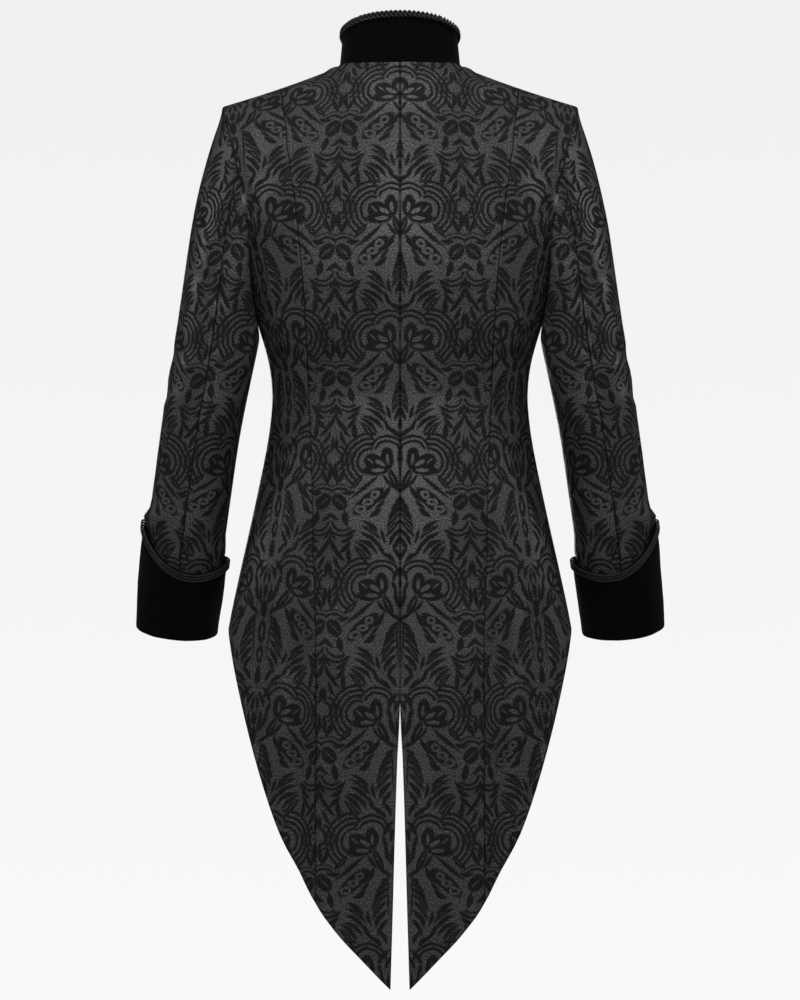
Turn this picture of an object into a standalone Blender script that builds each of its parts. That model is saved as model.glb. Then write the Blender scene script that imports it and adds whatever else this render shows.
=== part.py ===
"""A tailcoat with a stand collar, turned-back cuffs and two pointed tails, filled out as if worn.

The cloth is a set of thin walls, one for each piece that is cut and sewn. The front of the coat
faces -Y, +X is the wearer's left, and +Z is up. The origin is the middle of the neck opening, level
with the two points where the shoulder seams meet the collar. Sizes are in millimetres, and
build_mesh turns them into metres.
"""

import bisect
import math
from collections import defaultdict, namedtuple

import bmesh
import bpy
from mathutils import Vector
from mathutils.bvhtree import BVHTree

MM = 0.001

# ---- cloth and trims -------------------------------------------------------------------------------
CLOTH = 2.0  # jacquard with its lining
VELVET = 2.6  # velvet over its stiffening
BRAID_THICKNESS = 1.6
COLLAR_BRAID_WIDTH = 7.5
CUFF_BRAID_WIDTH = 9.5
BRAID_PROUD = 0.6  # how far the braid stands past the edge that it trims
SEAM_GAP = 0.3  # between two pieces that are sewn together
LAY_GAP = 0.3  # between a trim and the cloth under it
LEAST_LEAN = 0.55  # a mitred seam is never deeper than the cloth divided by this

# ---- how finely the walls are divided --------------------------------------------------------------
NECK_COLUMNS = 5  # centre back to the shoulder seam, along the neckline
CENTRE_COLUMNS = 8  # centre back seam to princess seam, those along the neckline included
SIDE_COLUMNS = 7  # princess seam to side seam
SHOULDER_COLUMNS = 4  # of the front, those that end at the shoulder seam
CHEST_COLUMNS = 8  # side seam to where the fronts begin to overlap
TAIL_ROWS = 14  # hem to waist
WAIST_ROWS = 6  # waist to underarm
SHOULDER_ROWS = 10  # underarm to shoulder
ARM_ROWS = 9  # armhole to the full round of the sleeve
FOREARM_ROWS = 8  # from there to the wrist
COLLAR_ROWS = 3
CORNER_STEPS = 4  # round each front corner of the collar
CUFF_ROWS = 4
CUFF_COLUMNS = 24
BUTTON_SIDES = 14
UNDERARM_ROW = TAIL_ROWS + WAIST_ROWS

# ---- the body of the coat, cut level ---------------------------------------------------------------
Section = namedtuple("Section", "z half_width back front middle")
SECTIONS = [
    Section(z=-1110, half_width=257, back=158, front=-150, middle=4),
    Section(z=-950, half_width=242, back=151, front=-150, middle=4),
    Section(z=-800, half_width=225, back=142, front=-150, middle=4),
    Section(z=-686, half_width=210, back=133, front=-148, middle=3),
    Section(z=-620, half_width=196.5, back=125, front=-143, middle=2),
    Section(z=-560, half_width=183, back=117, front=-137, middle=1),
    Section(z=-500, half_width=170, back=107, front=-130, middle=0),
    Section(z=-450, half_width=160.5, back=98, front=-125, middle=-1),
    Section(z=-405, half_width=156, back=93, front=-123, middle=-1),
    Section(z=-375, half_width=158, back=97, front=-126, middle=0),
    Section(z=-346, half_width=164, back=103, front=-130, middle=2),
    Section(z=-320, half_width=173, back=108, front=-133, middle=4),
    Section(z=-290, half_width=181, back=113, front=-136, middle=6),
    Section(z=-262, half_width=186, back=116, front=-138, middle=7),
]
BACK_SQUARENESS = 2.4  # exponent of the rounded section: 2 is an ellipse
FRONT_SQUARENESS = 2.15
UNDERARM_Z = -262.0
UNDERARM_DIP = 55.0  # how far the row of points at the underarm drops on its way to the centres
WAIST_Z = -405.0

Seam = namedtuple("Seam", "z x")
PRINCESS_SEAM = [
    Seam(z=-1110, x=93),
    Seam(z=-896, x=95.5),
    Seam(z=-774, x=96.4),
    Seam(z=-688, x=97.3),
    Seam(z=-602, x=102),
    Seam(z=-529, x=103.7),
    Seam(z=-468, x=105.7),
    Seam(z=-405, x=109.5),
    Seam(z=-346, x=111),
    Seam(z=-285, x=114),
    Seam(z=-262, x=115),
]
PRINCESS_ON_SHOULDER = 0.51  # where it ends on the shoulder seam: 0 is the neck, 1 the shoulder tip

Tail = namedtuple("Tail", "x z")  # the hem behind the side seams, by its distance from the centre
TAIL_HEM = [
    Tail(x=0, z=-1115),
    Tail(x=23, z=-1093),
    Tail(x=45, z=-1070),
    Tail(x=68, z=-1046),
    Tail(x=87, z=-1023),
    Tail(x=103, z=-1000),
    Tail(x=117, z=-977),
    Tail(x=141, z=-931),
    Tail(x=160, z=-885),
    Tail(x=174, z=-838),
    Tail(x=186, z=-791),
    Tail(x=197, z=-744),
    Tail(x=204, z=-710),
    Tail(x=207.5, z=-691),
    Tail(x=211, z=-684),
]
Hem = namedtuple("Hem", "angle z")  # before them, by the angle round the body: 180 is the centre front
FRONT_HEM = [
    Hem(angle=90, z=-684),
    Hem(angle=110, z=-652),
    Hem(angle=130, z=-610),
    Hem(angle=150, z=-556),
    Hem(angle=168, z=-512),
    Hem(angle=190, z=-497),
]

Vent = namedtuple("Vent", "z half_gap")  # half the opening between the tails
VENT = [
    Vent(z=-1110, half_gap=11.2),
    Vent(z=-1010, half_gap=8.2),
    Vent(z=-890, half_gap=4.9),
    Vent(z=-771, half_gap=0.8),
    Vent(z=-714, half_gap=0.0),
]

Fold = namedtuple("Fold", "angle width depth starts full")  # a soft wave that deepens down the skirt
FOLDS = [
    Fold(angle=37, width=12, depth=-11, starts=-500, full=-800),
    Fold(angle=65, width=10, depth=7, starts=-540, full=-760),
    Fold(angle=14, width=9, depth=3, starts=-620, full=-900),
    Fold(angle=118, width=13, depth=-5, starts=-440, full=-600),
]

# ---- front closing ---------------------------------------------------------------------------------
PAST_CENTRE = 20.0  # each front passes the centre by this much
UNDER_FROM = 38.0  # the right front begins to go under the left one this far from the centre
UNDER_FULLY = 22.0
UNDER_DEPTH = CLOTH + 0.6
BUTTONS = 5
FIRST_BUTTON_Z = -108.0
BUTTON_SPACING = 82.0
Turning = namedtuple("Turning", "radius height")
BUTTON_PROFILE = [
    Turning(radius=2.8, height=0.0),
    Turning(radius=2.8, height=1.5),
    Turning(radius=7.6, height=1.9),
    Turning(radius=9.0, height=2.9),
    Turning(radius=8.7, height=4.0),
    Turning(radius=6.4, height=5.4),
    Turning(radius=3.4, height=6.1),
]
BUTTON_CROWN = 6.35

# ---- neck and collar -------------------------------------------------------------------------------
Neck = namedtuple("Neck", "half_width back front")
NECK_BASE = Neck(half_width=74.5, back=60.0, front=-78.0)
NECK_TOP = Neck(half_width=69.0, back=57.0, front=-71.0)  # at the full height of the collar
NECK_RADIUS = 76.0  # of the neckline near the centre front
FRONT_NECK_DROP = 72.0
BACK_NECK_DROP = 2.0
COLLAR_HEIGHT = 62.5
COLLAR_END_ANGLE = 178.5
COLLAR_CORNER = 20.0  # radius of its front corners
COLLAR_BRAID_FOOT = 2.5  # the braid goes down the front edges to this far above the neckline
CollarEdge = namedtuple("CollarEdge", "angle height")
COLLAR_EDGE = [
    CollarEdge(angle=0, height=62.5),
    CollarEdge(angle=25, height=61),
    CollarEdge(angle=45, height=56.5),
    CollarEdge(angle=62, height=51.5),
    CollarEdge(angle=78, height=46),
    CollarEdge(angle=95, height=42),
    CollarEdge(angle=130, height=40),
    CollarEdge(angle=180, height=40),
]

# ---- shoulders and armholes ------------------------------------------------------------------------
SHOULDER_Y = 5.0
NECK_POINT = (NECK_BASE.half_width, SHOULDER_Y, 0.0)
SHOULDER_TIP = (217.0, SHOULDER_Y, -49.0)
SHOULDER_DIP = 2.2  # how far the shoulder seam hangs below a straight line
BACK_RISE = 1.0  # how strongly the back starts straight up from the underarm, to its height above it
BACK_ROLL = 195.0  # and how far it rolls forward over the shoulder
FRONT_RISE = 0.95
FRONT_ROLL = 175.0
Armhole = namedtuple("Armhole", "x y z")
ARMHOLE_BACK = [
    Armhole(x=186, y=7, z=-262),
    Armhole(x=186, y=30, z=-258),
    Armhole(x=184.5, y=52, z=-243),
    Armhole(x=183, y=67, z=-219),
    Armhole(x=183, y=75.5, z=-190),
    Armhole(x=187, y=77.5, z=-161),
    Armhole(x=194.5, y=73.5, z=-133),
    Armhole(x=201, y=62, z=-107),
    Armhole(x=207, y=46, z=-84),
    Armhole(x=213, y=27, z=-65),
    Armhole(*SHOULDER_TIP),
]
ARMHOLE_FRONT = [
    Armhole(x=186, y=7, z=-262),
    Armhole(x=184, y=-18, z=-258),
    Armhole(x=180, y=-42, z=-243),
    Armhole(x=177, y=-60, z=-220),
    Armhole(x=177, y=-71, z=-192),
    Armhole(x=180.5, y=-73, z=-163),
    Armhole(x=186.5, y=-68, z=-135),
    Armhole(x=194.5, y=-56, z=-108),
    Armhole(x=203, y=-38, z=-83),
    Armhole(x=211, y=-16, z=-63),
    Armhole(*SHOULDER_TIP),
]
EVENING_ROUNDS = 24  # how often the creases below the two neck points are smoothed
ARMHOLE_UPRIGHT = 0.4  # the share of the way up the armhole at which it stands upright
BACK_ARRIVING = Vector((0.8, -0.6, 0.0))  # the way in which the cloth runs out to the armhole there
FRONT_ARRIVING = Vector((0.85, 0.5, 0.0))
ARMHOLE_CENTRE = Vector((0, 3, -155))  # its x is not used
ARMHOLE_PULL = 1.0  # how much the armhole's seams turn to the middle of the armhole

# ---- sleeves ---------------------------------------------------------------------------------------
Arm = namedtuple("Arm", "z x y half_width half_depth")
ARM = [
    Arm(z=-700, x=277, y=-49.5, half_width=48, half_depth=48.3),
    Arm(z=-620, x=268.5, y=-30, half_width=48.3, half_depth=50),
    Arm(z=-560, x=260.5, y=-15, half_width=48.5, half_depth=52),
    Arm(z=-500, x=251.5, y=-2, half_width=48.7, half_depth=54.5),
    Arm(z=-440, x=243, y=7, half_width=49.2, half_depth=57),
    Arm(z=-390, x=233.5, y=9, half_width=50.3, half_depth=60),
    Arm(z=-335, x=224, y=8, half_width=51, half_depth=63),
    Arm(z=-300, x=219.5, y=7, half_width=50.5, half_depth=65),
]
FULL_ROUND_Z = -335.0  # where the sleeve has become a plain tube
WRIST_Z = -688.5
SLEEVE_SHORT = 2.0  # the sleeve ends this far inside its cuff
LEAVE_OUTER = Vector((0.38, 0, -0.92))  # how the sleeve leaves the armhole on its outer side
LEAVE_INNER = Vector((0.14, 0, -0.62))  # and under the arm
LEAVE_SAG = 0.30  # how much its back and front corners sag towards the body
BODY_CLEARANCE = 2.2  # between the sleeve and the side of the coat, where they touch
HUG_ANGLES = (125.0, 155.0)  # the sleeve lies flat against the body from the second of these on
HUG_HEIGHTS = (-350.0, -322.0)  # and above the second of these
HIND_SEAM = 6  # rows up the back of the armhole
FORE_SEAM = 5  # rows up the front of the armhole

# ---- cuffs -----------------------------------------------------------------------------------------
CUFF_HEIGHT = 71.0
CUFF_OUTER_RISE = 56.0  # how much higher the cuff stands on the outer side
CUFF_INNER_RISE = 21.0
CUFF_SHARPNESS = 2.5  # a larger exponent keeps the outer rise narrower
CUFF_FOOT = 3.6  # how far the cuff's outer face stands off the sleeve at its foot
CUFF_TOP = 6.0  # and at its top edge

# ---- colours ---------------------------------------------------------------------------------------
Finish = namedtuple("Finish", "colour roughness")
JACQUARD = Finish(colour=(0.022, 0.022, 0.024, 1.0), roughness=0.5)
BLACK_VELVET = Finish(colour=(0.004, 0.004, 0.004, 1.0), roughness=0.9)
BRAID = Finish(colour=(0.014, 0.014, 0.015, 1.0), roughness=0.6)


# ---- curves and tables -----------------------------------------------------------------------------
def smooth(low, high, value):
    """0 at low, 1 at high, held past each, and an easy S between them."""
    share = min(1.0, max(0.0, (value - low) / (high - low)))
    return share * share * (3 - 2 * share)


def hermite(start, start_pull, end, end_pull, t):
    """A point on the smooth curve that leaves start along start_pull and reaches end along end_pull."""
    t2, t3 = t * t, t * t * t
    leaving_part = start * (2 * t3 - 3 * t2 + 1) + start_pull * (t3 - 2 * t2 + t)
    return leaving_part + end * (3 * t2 - 2 * t3) + end_pull * (t3 - t2)


def through(values, places, i, share):
    """A smooth curve through values at rising places, read between the i-th one and the next."""

    def slope(n):
        before, after = max(n - 1, 0), min(n + 1, len(places) - 1)
        return (values[after] - values[before]) / (places[after] - places[before])

    width = places[i + 1] - places[i]
    return hermite(values[i], slope(i) * width, values[i + 1], slope(i + 1) * width, share)


def read(table, column, at):
    """The named column of a table, where its first column has the value at."""
    places = [row[0] for row in table]
    values = [getattr(row, column) for row in table]
    if at <= places[0]:
        return values[0]
    if at >= places[-1]:
        return values[-1]
    i = bisect.bisect_right(places, at) - 1
    return through(values, places, i, (at - places[i]) / (places[i + 1] - places[i]))


def steps(count):
    """Even shares from 0 to 1."""
    return [n / count for n in range(count + 1)]


def mirror(point):
    return Vector((-point.x, point.y, point.z))


# ---- the shape of the body -------------------------------------------------------------------------
def angle_at(x, z):
    """The angle round the back at which the level section at z is x wide."""
    share = min(1.0, x / read(SECTIONS, "half_width", z))
    return math.degrees(math.asin(share ** (BACK_SQUARENESS / 2)))


def fold_out(angle, z):
    """How far the skirt's soft folds stand out of the plain section."""
    out = 0.0
    for fold in FOLDS:
        across = math.exp(-(((angle - fold.angle) / fold.width) ** 2))
        out += fold.depth * across * smooth(fold.starts, fold.full, z)
    return out


def body_point(angle, z):
    """The outer face of the coat below the underarm, at an angle round the body and a height."""
    turn = math.radians(angle)
    behind = math.cos(turn) >= 0
    middle = read(SECTIONS, "middle", z)
    depth = read(SECTIONS, "back" if behind else "front", z) - middle
    power = 2 / (BACK_SQUARENESS if behind else FRONT_SQUARENESS)
    across = math.copysign(abs(math.sin(turn)) ** power, math.sin(turn))
    x = read(SECTIONS, "half_width", z) * across
    y = middle + depth * abs(math.cos(turn)) ** power
    return Vector((x, y, z)) + Vector((math.sin(turn), math.cos(turn), 0)) * fold_out(angle, z)


def front_angle(x):
    """The angle round the front at which the waist is x from the centre front."""
    share = abs(x) / read(SECTIONS, "half_width", WAIST_Z)
    return 180 - math.copysign(math.degrees(math.asin(share ** (FRONT_SQUARENESS / 2))), x)


def neck_angle(x):
    """The angle round the neckline that is x from the centre front."""
    return 180 - math.degrees(math.asin(x / NECK_BASE.half_width))


def neck_point(angle, up=0.0):
    """A point of the collar's outer face, at an angle round the neck and a height above its seam."""
    lean = up / COLLAR_HEIGHT
    turn = math.radians(angle)
    behind = math.cos(turn) >= 0
    base, top = (neck.back if behind else neck.front for neck in (NECK_BASE, NECK_TOP))
    depth = base + (top - base) * lean - SHOULDER_Y
    half_width = NECK_BASE.half_width + (NECK_TOP.half_width - NECK_BASE.half_width) * lean
    drop = (BACK_NECK_DROP if behind else FRONT_NECK_DROP) * math.cos(turn) ** 2
    return Vector((half_width * math.sin(turn), SHOULDER_Y + depth * abs(math.cos(turn)), up - drop))


def neck_facing(angle):
    """The outward direction of the collar at an angle round the neck."""
    rise = neck_point(angle, COLLAR_HEIGHT) - neck_point(angle)
    along = neck_point(angle + 1) - neck_point(angle - 1)
    return rise.cross(along).normalized()


def neck_angles():
    """The angles of the columns that end at the neckline, from the centre back to the centre front."""
    back = [90 * share for share in steps(NECK_COLUMNS)]
    under = neck_angle(UNDER_FROM)
    front = [90 + (under - 90) * share for share in steps(CHEST_COLUMNS - SHOULDER_COLUMNS)[1:]]
    return back + front + [neck_angle(UNDER_FULLY), 180.0]


NECK_ANGLES = neck_angles()


def along_neckline(angle, values):
    """One of the values at NECK_ANGLES, or between two of them in a straight line."""
    turned = (angle + 180) % 360 - 180
    i = min(bisect.bisect_right(NECK_ANGLES, abs(turned)) - 1, len(NECK_ANGLES) - 2)
    share = (abs(turned) - NECK_ANGLES[i]) / (NECK_ANGLES[i + 1] - NECK_ANGLES[i])
    found = values[i].lerp(values[i + 1], share)
    return mirror(found) if turned < 0 else found


def neckline(angle):
    """A point of the seam between the coat and its collar."""
    return along_neckline(angle, [neck_point(a) for a in NECK_ANGLES])


def shoulder_point(share):
    """A point of the shoulder seam: 0 is the neck point, 1 the tip of the shoulder."""
    point = Vector(NECK_POINT).lerp(Vector(SHOULDER_TIP), share)
    point.z -= SHOULDER_DIP * math.sin(math.pi * share)
    return point


def armhole_point(table, share):
    """A point of the armhole: 0 is the underarm, 1 the tip of the shoulder."""
    place = share * (len(table) - 1)
    i = min(int(place), len(table) - 2)
    return through([Vector(row) for row in table], range(len(table)), i, place - i)


# ---- columns of the body, from the hem up ----------------------------------------------------------
def hem_height(angle, z):
    """The height of the hem at an angle round the body, for a body that is as wide as it is at z."""
    if angle <= 90:
        return read(TAIL_HEM, "z", body_point(angle, z).x)
    return read(FRONT_HEM, "z", angle)


def lower_column(angle_of, from_side):
    """A column from the hem to the underarm.

    angle_of gives its angle at each height, and from_side is 0 at the side seam and 1 at the centre.
    """
    hem_z = -700.0
    for _ in range(20):
        hem_z = (hem_z + hem_height(angle_of(hem_z), hem_z)) / 2
    top_z = UNDERARM_Z - UNDERARM_DIP * from_side
    heights = [hem_z + (WAIST_Z - hem_z) * share for share in steps(TAIL_ROWS)]
    heights += [WAIST_Z + (top_z - WAIST_Z) * share for share in steps(WAIST_ROWS)[1:]]
    return [body_point(angle_of(z), z) for z in heights]


def raised(column, top, rise, roll):
    """A column carried on from the underarm to its top: straight up, then rolling over."""
    low = column[-1]
    pull = (low - column[-2]).normalized() * (rise * (top.z - low.z))
    return column + [hermite(low, pull, top, roll, share) for share in steps(SHOULDER_ROWS)[1:]]


def laid_to_armhole(columns, table, arriving):
    """Lays the rows above the underarm anew, from the second of these columns to the armhole.

    The first column gives the way in which each row sets out, and arriving is the way in which the
    rows reach the upright part of the armhole.
    """
    count = len(columns) - 2
    at_underarm, at_tip = ((columns[-1][row] - columns[-2][row]) * count for row in (UNDERARM_ROW, -1))
    on_shoulder = (columns[2][-1] - columns[1][-1]) * count
    for n, share in enumerate(steps(SHOULDER_ROWS)[1:-1]):
        row = UNDERARM_ROW + 1 + n
        start, end = columns[1][row], armhole_point(table, share)
        reach = (end - start).length
        to_shoulder = smooth(ARMHOLE_UPRIGHT, 1, share)
        away = ((start - columns[0][row]).normalized() * reach).lerp(on_shoulder, to_shoulder)
        into = at_underarm.lerp(arriving * reach, smooth(0, ARMHOLE_UPRIGHT, share))
        into = into.lerp(at_tip, to_shoulder)
        for j in range(1, count + 1):
            columns[j + 1][row] = hermite(start, away, end, into, j / count)


def evened(columns, neck_column, span):
    """Evens the depth of the cloth from side to side round the column that ends at the neck point."""
    for row in range(UNDERARM_ROW + 1, len(columns[0]) - 1):
        for _ in range(EVENING_ROUNDS):
            depth = [column[row].y for column in columns]
            for n in range(neck_column - span + 1, neck_column + span):
                around = (depth[abs(n - 1)] + depth[n + 1]) / 2
                strength = 1 - abs(n - neck_column) / span
                columns[n][row].y += (around - depth[n]) / 2 * strength


def princess_angle(z):
    return angle_at(read(PRINCESS_SEAM, "x", z), z)


def vent_angle(z):
    return angle_at(read(VENT, "half_gap", z), z)


def back_columns():
    """Half of the back, from the centre back seam or the vent's edge to the side seam."""
    columns = []
    for share in steps(CENTRE_COLUMNS):
        angle_of = lambda z, s=share: vent_angle(z) * (1 - s) + princess_angle(z) * s
        columns.append(lower_column(angle_of, 1.0))
    for share in steps(SIDE_COLUMNS)[1:]:
        angle_of = lambda z, s=share: princess_angle(z) * (1 - s) + 90 * s
        columns.append(lower_column(angle_of, 1 - share))
    return columns


def back_tops():
    """Where each column of the back ends, and how it gets there."""
    over_neck, over_shoulder = Vector((0, -0.62, 0.8)), Vector((0, -0.95, 0.3))
    over_tip = Vector((0, -0.9, 0.12))
    tops = [(neckline(90 * s), over_neck.lerp(over_shoulder, s)) for s in steps(NECK_COLUMNS)]
    shares = [PRINCESS_ON_SHOULDER * s for s in steps(CENTRE_COLUMNS - NECK_COLUMNS)[1:]]
    shares += [PRINCESS_ON_SHOULDER * (1 - s) + s for s in steps(SIDE_COLUMNS)[1:]]
    return tops + [(shoulder_point(s), over_shoulder.lerp(over_tip, s)) for s in shares]


def back_grid():
    columns = [
        raised(column, top, BACK_RISE, way * BACK_ROLL)
        for column, (top, way) in zip(back_columns(), back_tops())
    ]
    laid_to_armhole(columns[CENTRE_COLUMNS - 1 :], ARMHOLE_BACK, BACK_ARRIVING)
    evened(columns, NECK_COLUMNS, NECK_COLUMNS + 1)
    return [list(row) for row in zip(*columns)]


def front_columns():
    """Half of the front, from the side seam to the edge past the centre front."""
    under = front_angle(UNDER_FROM)
    angles = [90 + (under - 90) * share for share in steps(CHEST_COLUMNS)]
    angles += [front_angle(x) for x in (UNDER_FULLY, 0.0, -PAST_CENTRE)]
    return [lower_column(lambda z, a=angle: a, min(1.0, (angle - 90) / (under - 90))) for angle in angles]


def front_tops():
    """Where each column of the front ends, and how it gets there."""
    over_shoulder, up_to_neck = Vector((0, 1, 0.2)), Vector((0, 0.45, 0.75))
    tops = [(shoulder_point(1 - share), over_shoulder) for share in steps(SHOULDER_COLUMNS)]
    for angle in NECK_ANGLES[NECK_COLUMNS + 1 :] + [neck_angle(-PAST_CENTRE)]:
        tops.append((neckline(angle), over_shoulder.lerp(up_to_neck, smooth(90, 150, angle))))
    return tops


def front_grid():
    columns = [
        raised(column, top, FRONT_RISE, way * FRONT_ROLL)
        for column, (top, way) in zip(front_columns(), front_tops())
    ]
    laid_to_armhole(columns[SHOULDER_COLUMNS + 1 :: -1], ARMHOLE_FRONT, FRONT_ARRIVING)
    evened(columns, SHOULDER_COLUMNS, SHOULDER_COLUMNS)
    return [list(row) for row in zip(*columns)]


# ---- the sleeve ------------------------------------------------------------------------------------
def arm_axis(z):
    """The sleeve's centre at a height, and the outward and backward directions of its round there."""

    def centre(height):
        return Vector((read(ARM, "x", height), read(ARM, "y", height), height))

    up = (centre(z + 8) - centre(z - 8)).normalized()
    outward = Vector((0, 1, 0)).cross(up).normalized()
    return centre(z), outward, up.cross(outward)


def arm_point(angle, z, out=0.0):
    """A point of the sleeve: angle 0 is its outer side, 90 its back, 180 the side next to the body."""
    centre, outward, backward = arm_axis(z)
    turn = math.radians(angle)
    across = (read(ARM, "half_width", z) + out) * math.cos(turn)
    deep = (read(ARM, "half_depth", z) + out) * math.sin(turn)
    return centre + outward * across + backward * deep


def sleeve_angles():
    """The angle of each column, from the underarm up the back of the armhole and down its front."""

    def to_tip(seam):
        below = [180 - 90 * n / seam for n in range(seam)]
        return below + [90 - 90 * n / (SHOULDER_ROWS - seam) for n in range(SHOULDER_ROWS - seam)]

    front = [-angle for angle in to_tip(FORE_SEAM)[1:]]
    return to_tip(HIND_SEAM) + [0.0] + front[::-1]


def armhole_loop():
    """The armhole's points, from the underarm up its back and down its front."""
    shares = steps(SHOULDER_ROWS)
    back = [armhole_point(ARMHOLE_BACK, share) for share in shares]
    front = [armhole_point(ARMHOLE_FRONT, share) for share in shares]
    return back + front[-2:0:-1]


def surface(grids):
    """The quads of some grids of points as one surface that can be measured."""
    points, quads = [], []
    for grid in grids:
        columns = len(grid[0])
        first = len(points)
        points += [point for row in grid for point in row]
        for i in range(len(grid) - 1):
            for j in range(columns - 1):
                low = first + i * columns + j
                quads.append([low, low + 1, low + columns + 1, low + columns])
    return BVHTree.FromPolygons(points, quads)


def beside_body(body, point, angle):
    """Lays the inner side of the sleeve against the side of the coat."""
    side = body.ray_cast(Vector((400, point.y, point.z)), Vector((-1, 0, 0)))[0]
    if side is None:
        return point
    near = side.x + BODY_CLEARANCE
    hug = smooth(*HUG_ANGLES, abs(angle)) * smooth(*HUG_HEIGHTS, point.z)
    point.x = max(near, point.x + (near - point.x) * hug)
    return point


def leaving(angle):
    """How the sleeve leaves the armhole at an angle round it."""
    outer = (1 + math.cos(math.radians(angle))) / 2
    way = LEAVE_OUTER * outer + LEAVE_INNER * (1 - outer)
    way.x -= LEAVE_SAG * max(0.0, -math.sin(math.radians(2 * abs(angle))))
    return way


def sleeve_grid(body):
    """The whole tube of the sleeve, from the wrist up to the armhole, clear of the body's surface."""
    angles = sleeve_angles()
    rows = []
    wrist = WRIST_Z + SLEEVE_SHORT
    for share in steps(FOREARM_ROWS)[:-1]:
        z = wrist + (FULL_ROUND_Z - wrist) * share
        rows.append([arm_point(angle, z) for angle in angles])
    for share in steps(ARM_ROWS)[::-1]:
        row = []
        for angle, start in zip(angles, armhole_loop()):
            end = arm_point(angle, FULL_ROUND_Z)
            down = (end - arm_point(angle, FULL_ROUND_Z + 12)).normalized()
            reach = (end - start).length
            point = hermite(start, leaving(angle) * reach, end, down * reach, share)
            row.append(beside_body(body, point, angle) if share > 0 else start)
        rows.append(row)
    return rows


# ---- sheets of cloth -------------------------------------------------------------------------------
class Sheet:
    """The outer face of some cloth as a grid of points, with the way it faces and leans at each.

    Rows run from the foot up. The inner face lies behind the outer one along the lean. Sheets that
    are sewn together have one lean along their seam, so that their edges meet in a mitre.
    """

    def __init__(self, points, closed=False):
        self.points = points
        self.closed = closed
        self.facing = self.faced()
        self.leans = [list(row) for row in self.facing]

    def faced(self):
        rows, columns = len(self.points), len(self.points[0])
        found = []
        for i in range(rows):
            line = []
            for j in range(columns):
                before = j - 1 if self.closed else max(j - 1, 0)
                after = (j + 1) % columns if self.closed else min(j + 1, columns - 1)
                along = self.points[i][after] - self.points[i][before]
                up = self.points[min(i + 1, rows - 1)][j] - self.points[max(i - 1, 0)][j]
                line.append(up.cross(along).normalized())
            found.append(line)
        return found

    def cut(self, columns):
        """The panel of this sheet that has the given columns."""
        panel = Sheet([[row[n] for n in columns] for row in self.points])
        panel.facing = [[row[n] for n in columns] for row in self.facing]
        panel.leans = [[row[n] for n in columns] for row in self.leans]
        return panel


def sew(places, pull=Vector(), flat=None):
    """Gives the sheets that meet at one point the same lean. flat is an axis that it does not use."""
    lean = pull.copy()
    for sheet, i, j in places:
        lean += sheet.facing[i][j]
    if flat is not None:
        lean[flat] = 0
    lean.normalize()
    for sheet, i, j in places:
        sheet.leans[i][j] = lean
    return lean


def sew_body(back, front, sleeve):
    """The centre back, side, shoulder and armhole seams of one half of the coat."""
    for i in range(len(back.points)):
        sew([(back, i, 0)], flat=0)
    for i in range(UNDERARM_ROW):
        sew([(back, i, -1), (front, i, 0)])
    for j in range(NECK_COLUMNS + 1, len(back.points[0]) - 1):
        sew([(back, -1, j)], flat=1)
    for j in range(1, SHOULDER_COLUMNS):
        sew([(front, -1, j)], flat=1)
    around = len(sleeve.points[0])
    for n in range(SHOULDER_ROWS + 1):
        row = UNDERARM_ROW + n
        behind, ahead = (sleeve, -1, n), (sleeve, -1, (around - n) % around)
        seams = [[(back, row, -1), behind], [(front, row, 0), ahead]]
        if n in (0, SHOULDER_ROWS):
            seams = [[(back, row, -1), (front, row, 0), behind, behind]]
        for places in seams:
            outward = sleeve.points[-1][places[-1][2]] - ARMHOLE_CENTRE
            outward.x = 0
            sew(places, outward.normalized() * ARMHOLE_PULL, 1 if n == SHOULDER_ROWS else None)


def sew_neckline(back, front):
    """The leans along the neckline, one for each of NECK_ANGLES."""
    leans = []
    for n, angle in enumerate(NECK_ANGLES):
        places = []
        if n <= NECK_COLUMNS:
            places.append((back, -1, n))
        if n >= NECK_COLUMNS:
            places.append((front, -1, n - NECK_COLUMNS + SHOULDER_COLUMNS))
        flat = {0: 0, NECK_COLUMNS: 1}.get(n)
        leans.append(sew(places, neck_facing(angle) * len(places), flat))
    return leans


# ---- walls and meshes ------------------------------------------------------------------------------
def seam_moves(sheet, seams):
    """How the points on the named sides of a panel move in, so that a gap is left at each seam."""
    rows, columns = len(sheet.points), len(sheet.points[0])
    sides = {
        "foot": [(0, j) for j in range(columns)],
        "last": [(i, columns - 1) for i in range(rows)],
        "top": [(rows - 1, j) for j in reversed(range(columns))],
        "first": [(i, 0) for i in reversed(range(rows))],
    }
    ways = defaultdict(list)
    for side in seams:
        for a, b in zip(sides[side], sides[side][1:]):
            along = sheet.points[b[0]][b[1]] - sheet.points[a[0]][a[1]]
            for i, j in (a, b):
                ways[i, j].append(along.cross(sheet.leans[i][j]).normalized())
    moves = {}
    for place, found in ways.items():
        total = sum(found, Vector())
        moves[place] = total * (SEAM_GAP / 2 * len(found) / total.length_squared)
    return moves


def faces_of_wall(sheet, thickness, seams=()):
    """The outer and inner grids of a wall."""
    moves = seam_moves(sheet, seams)
    outer, inner = [], []
    for i, row in enumerate(sheet.points):
        outer.append([])
        inner.append([])
        for j, point in enumerate(row):
            lean = sheet.leans[i][j]
            moved = point + moves.get((i, j), Vector())
            outer[i].append(moved)
            inner[i].append(moved - lean * (thickness / max(LEAST_LEAN, lean.dot(sheet.facing[i][j]))))
    return outer, inner


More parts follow.
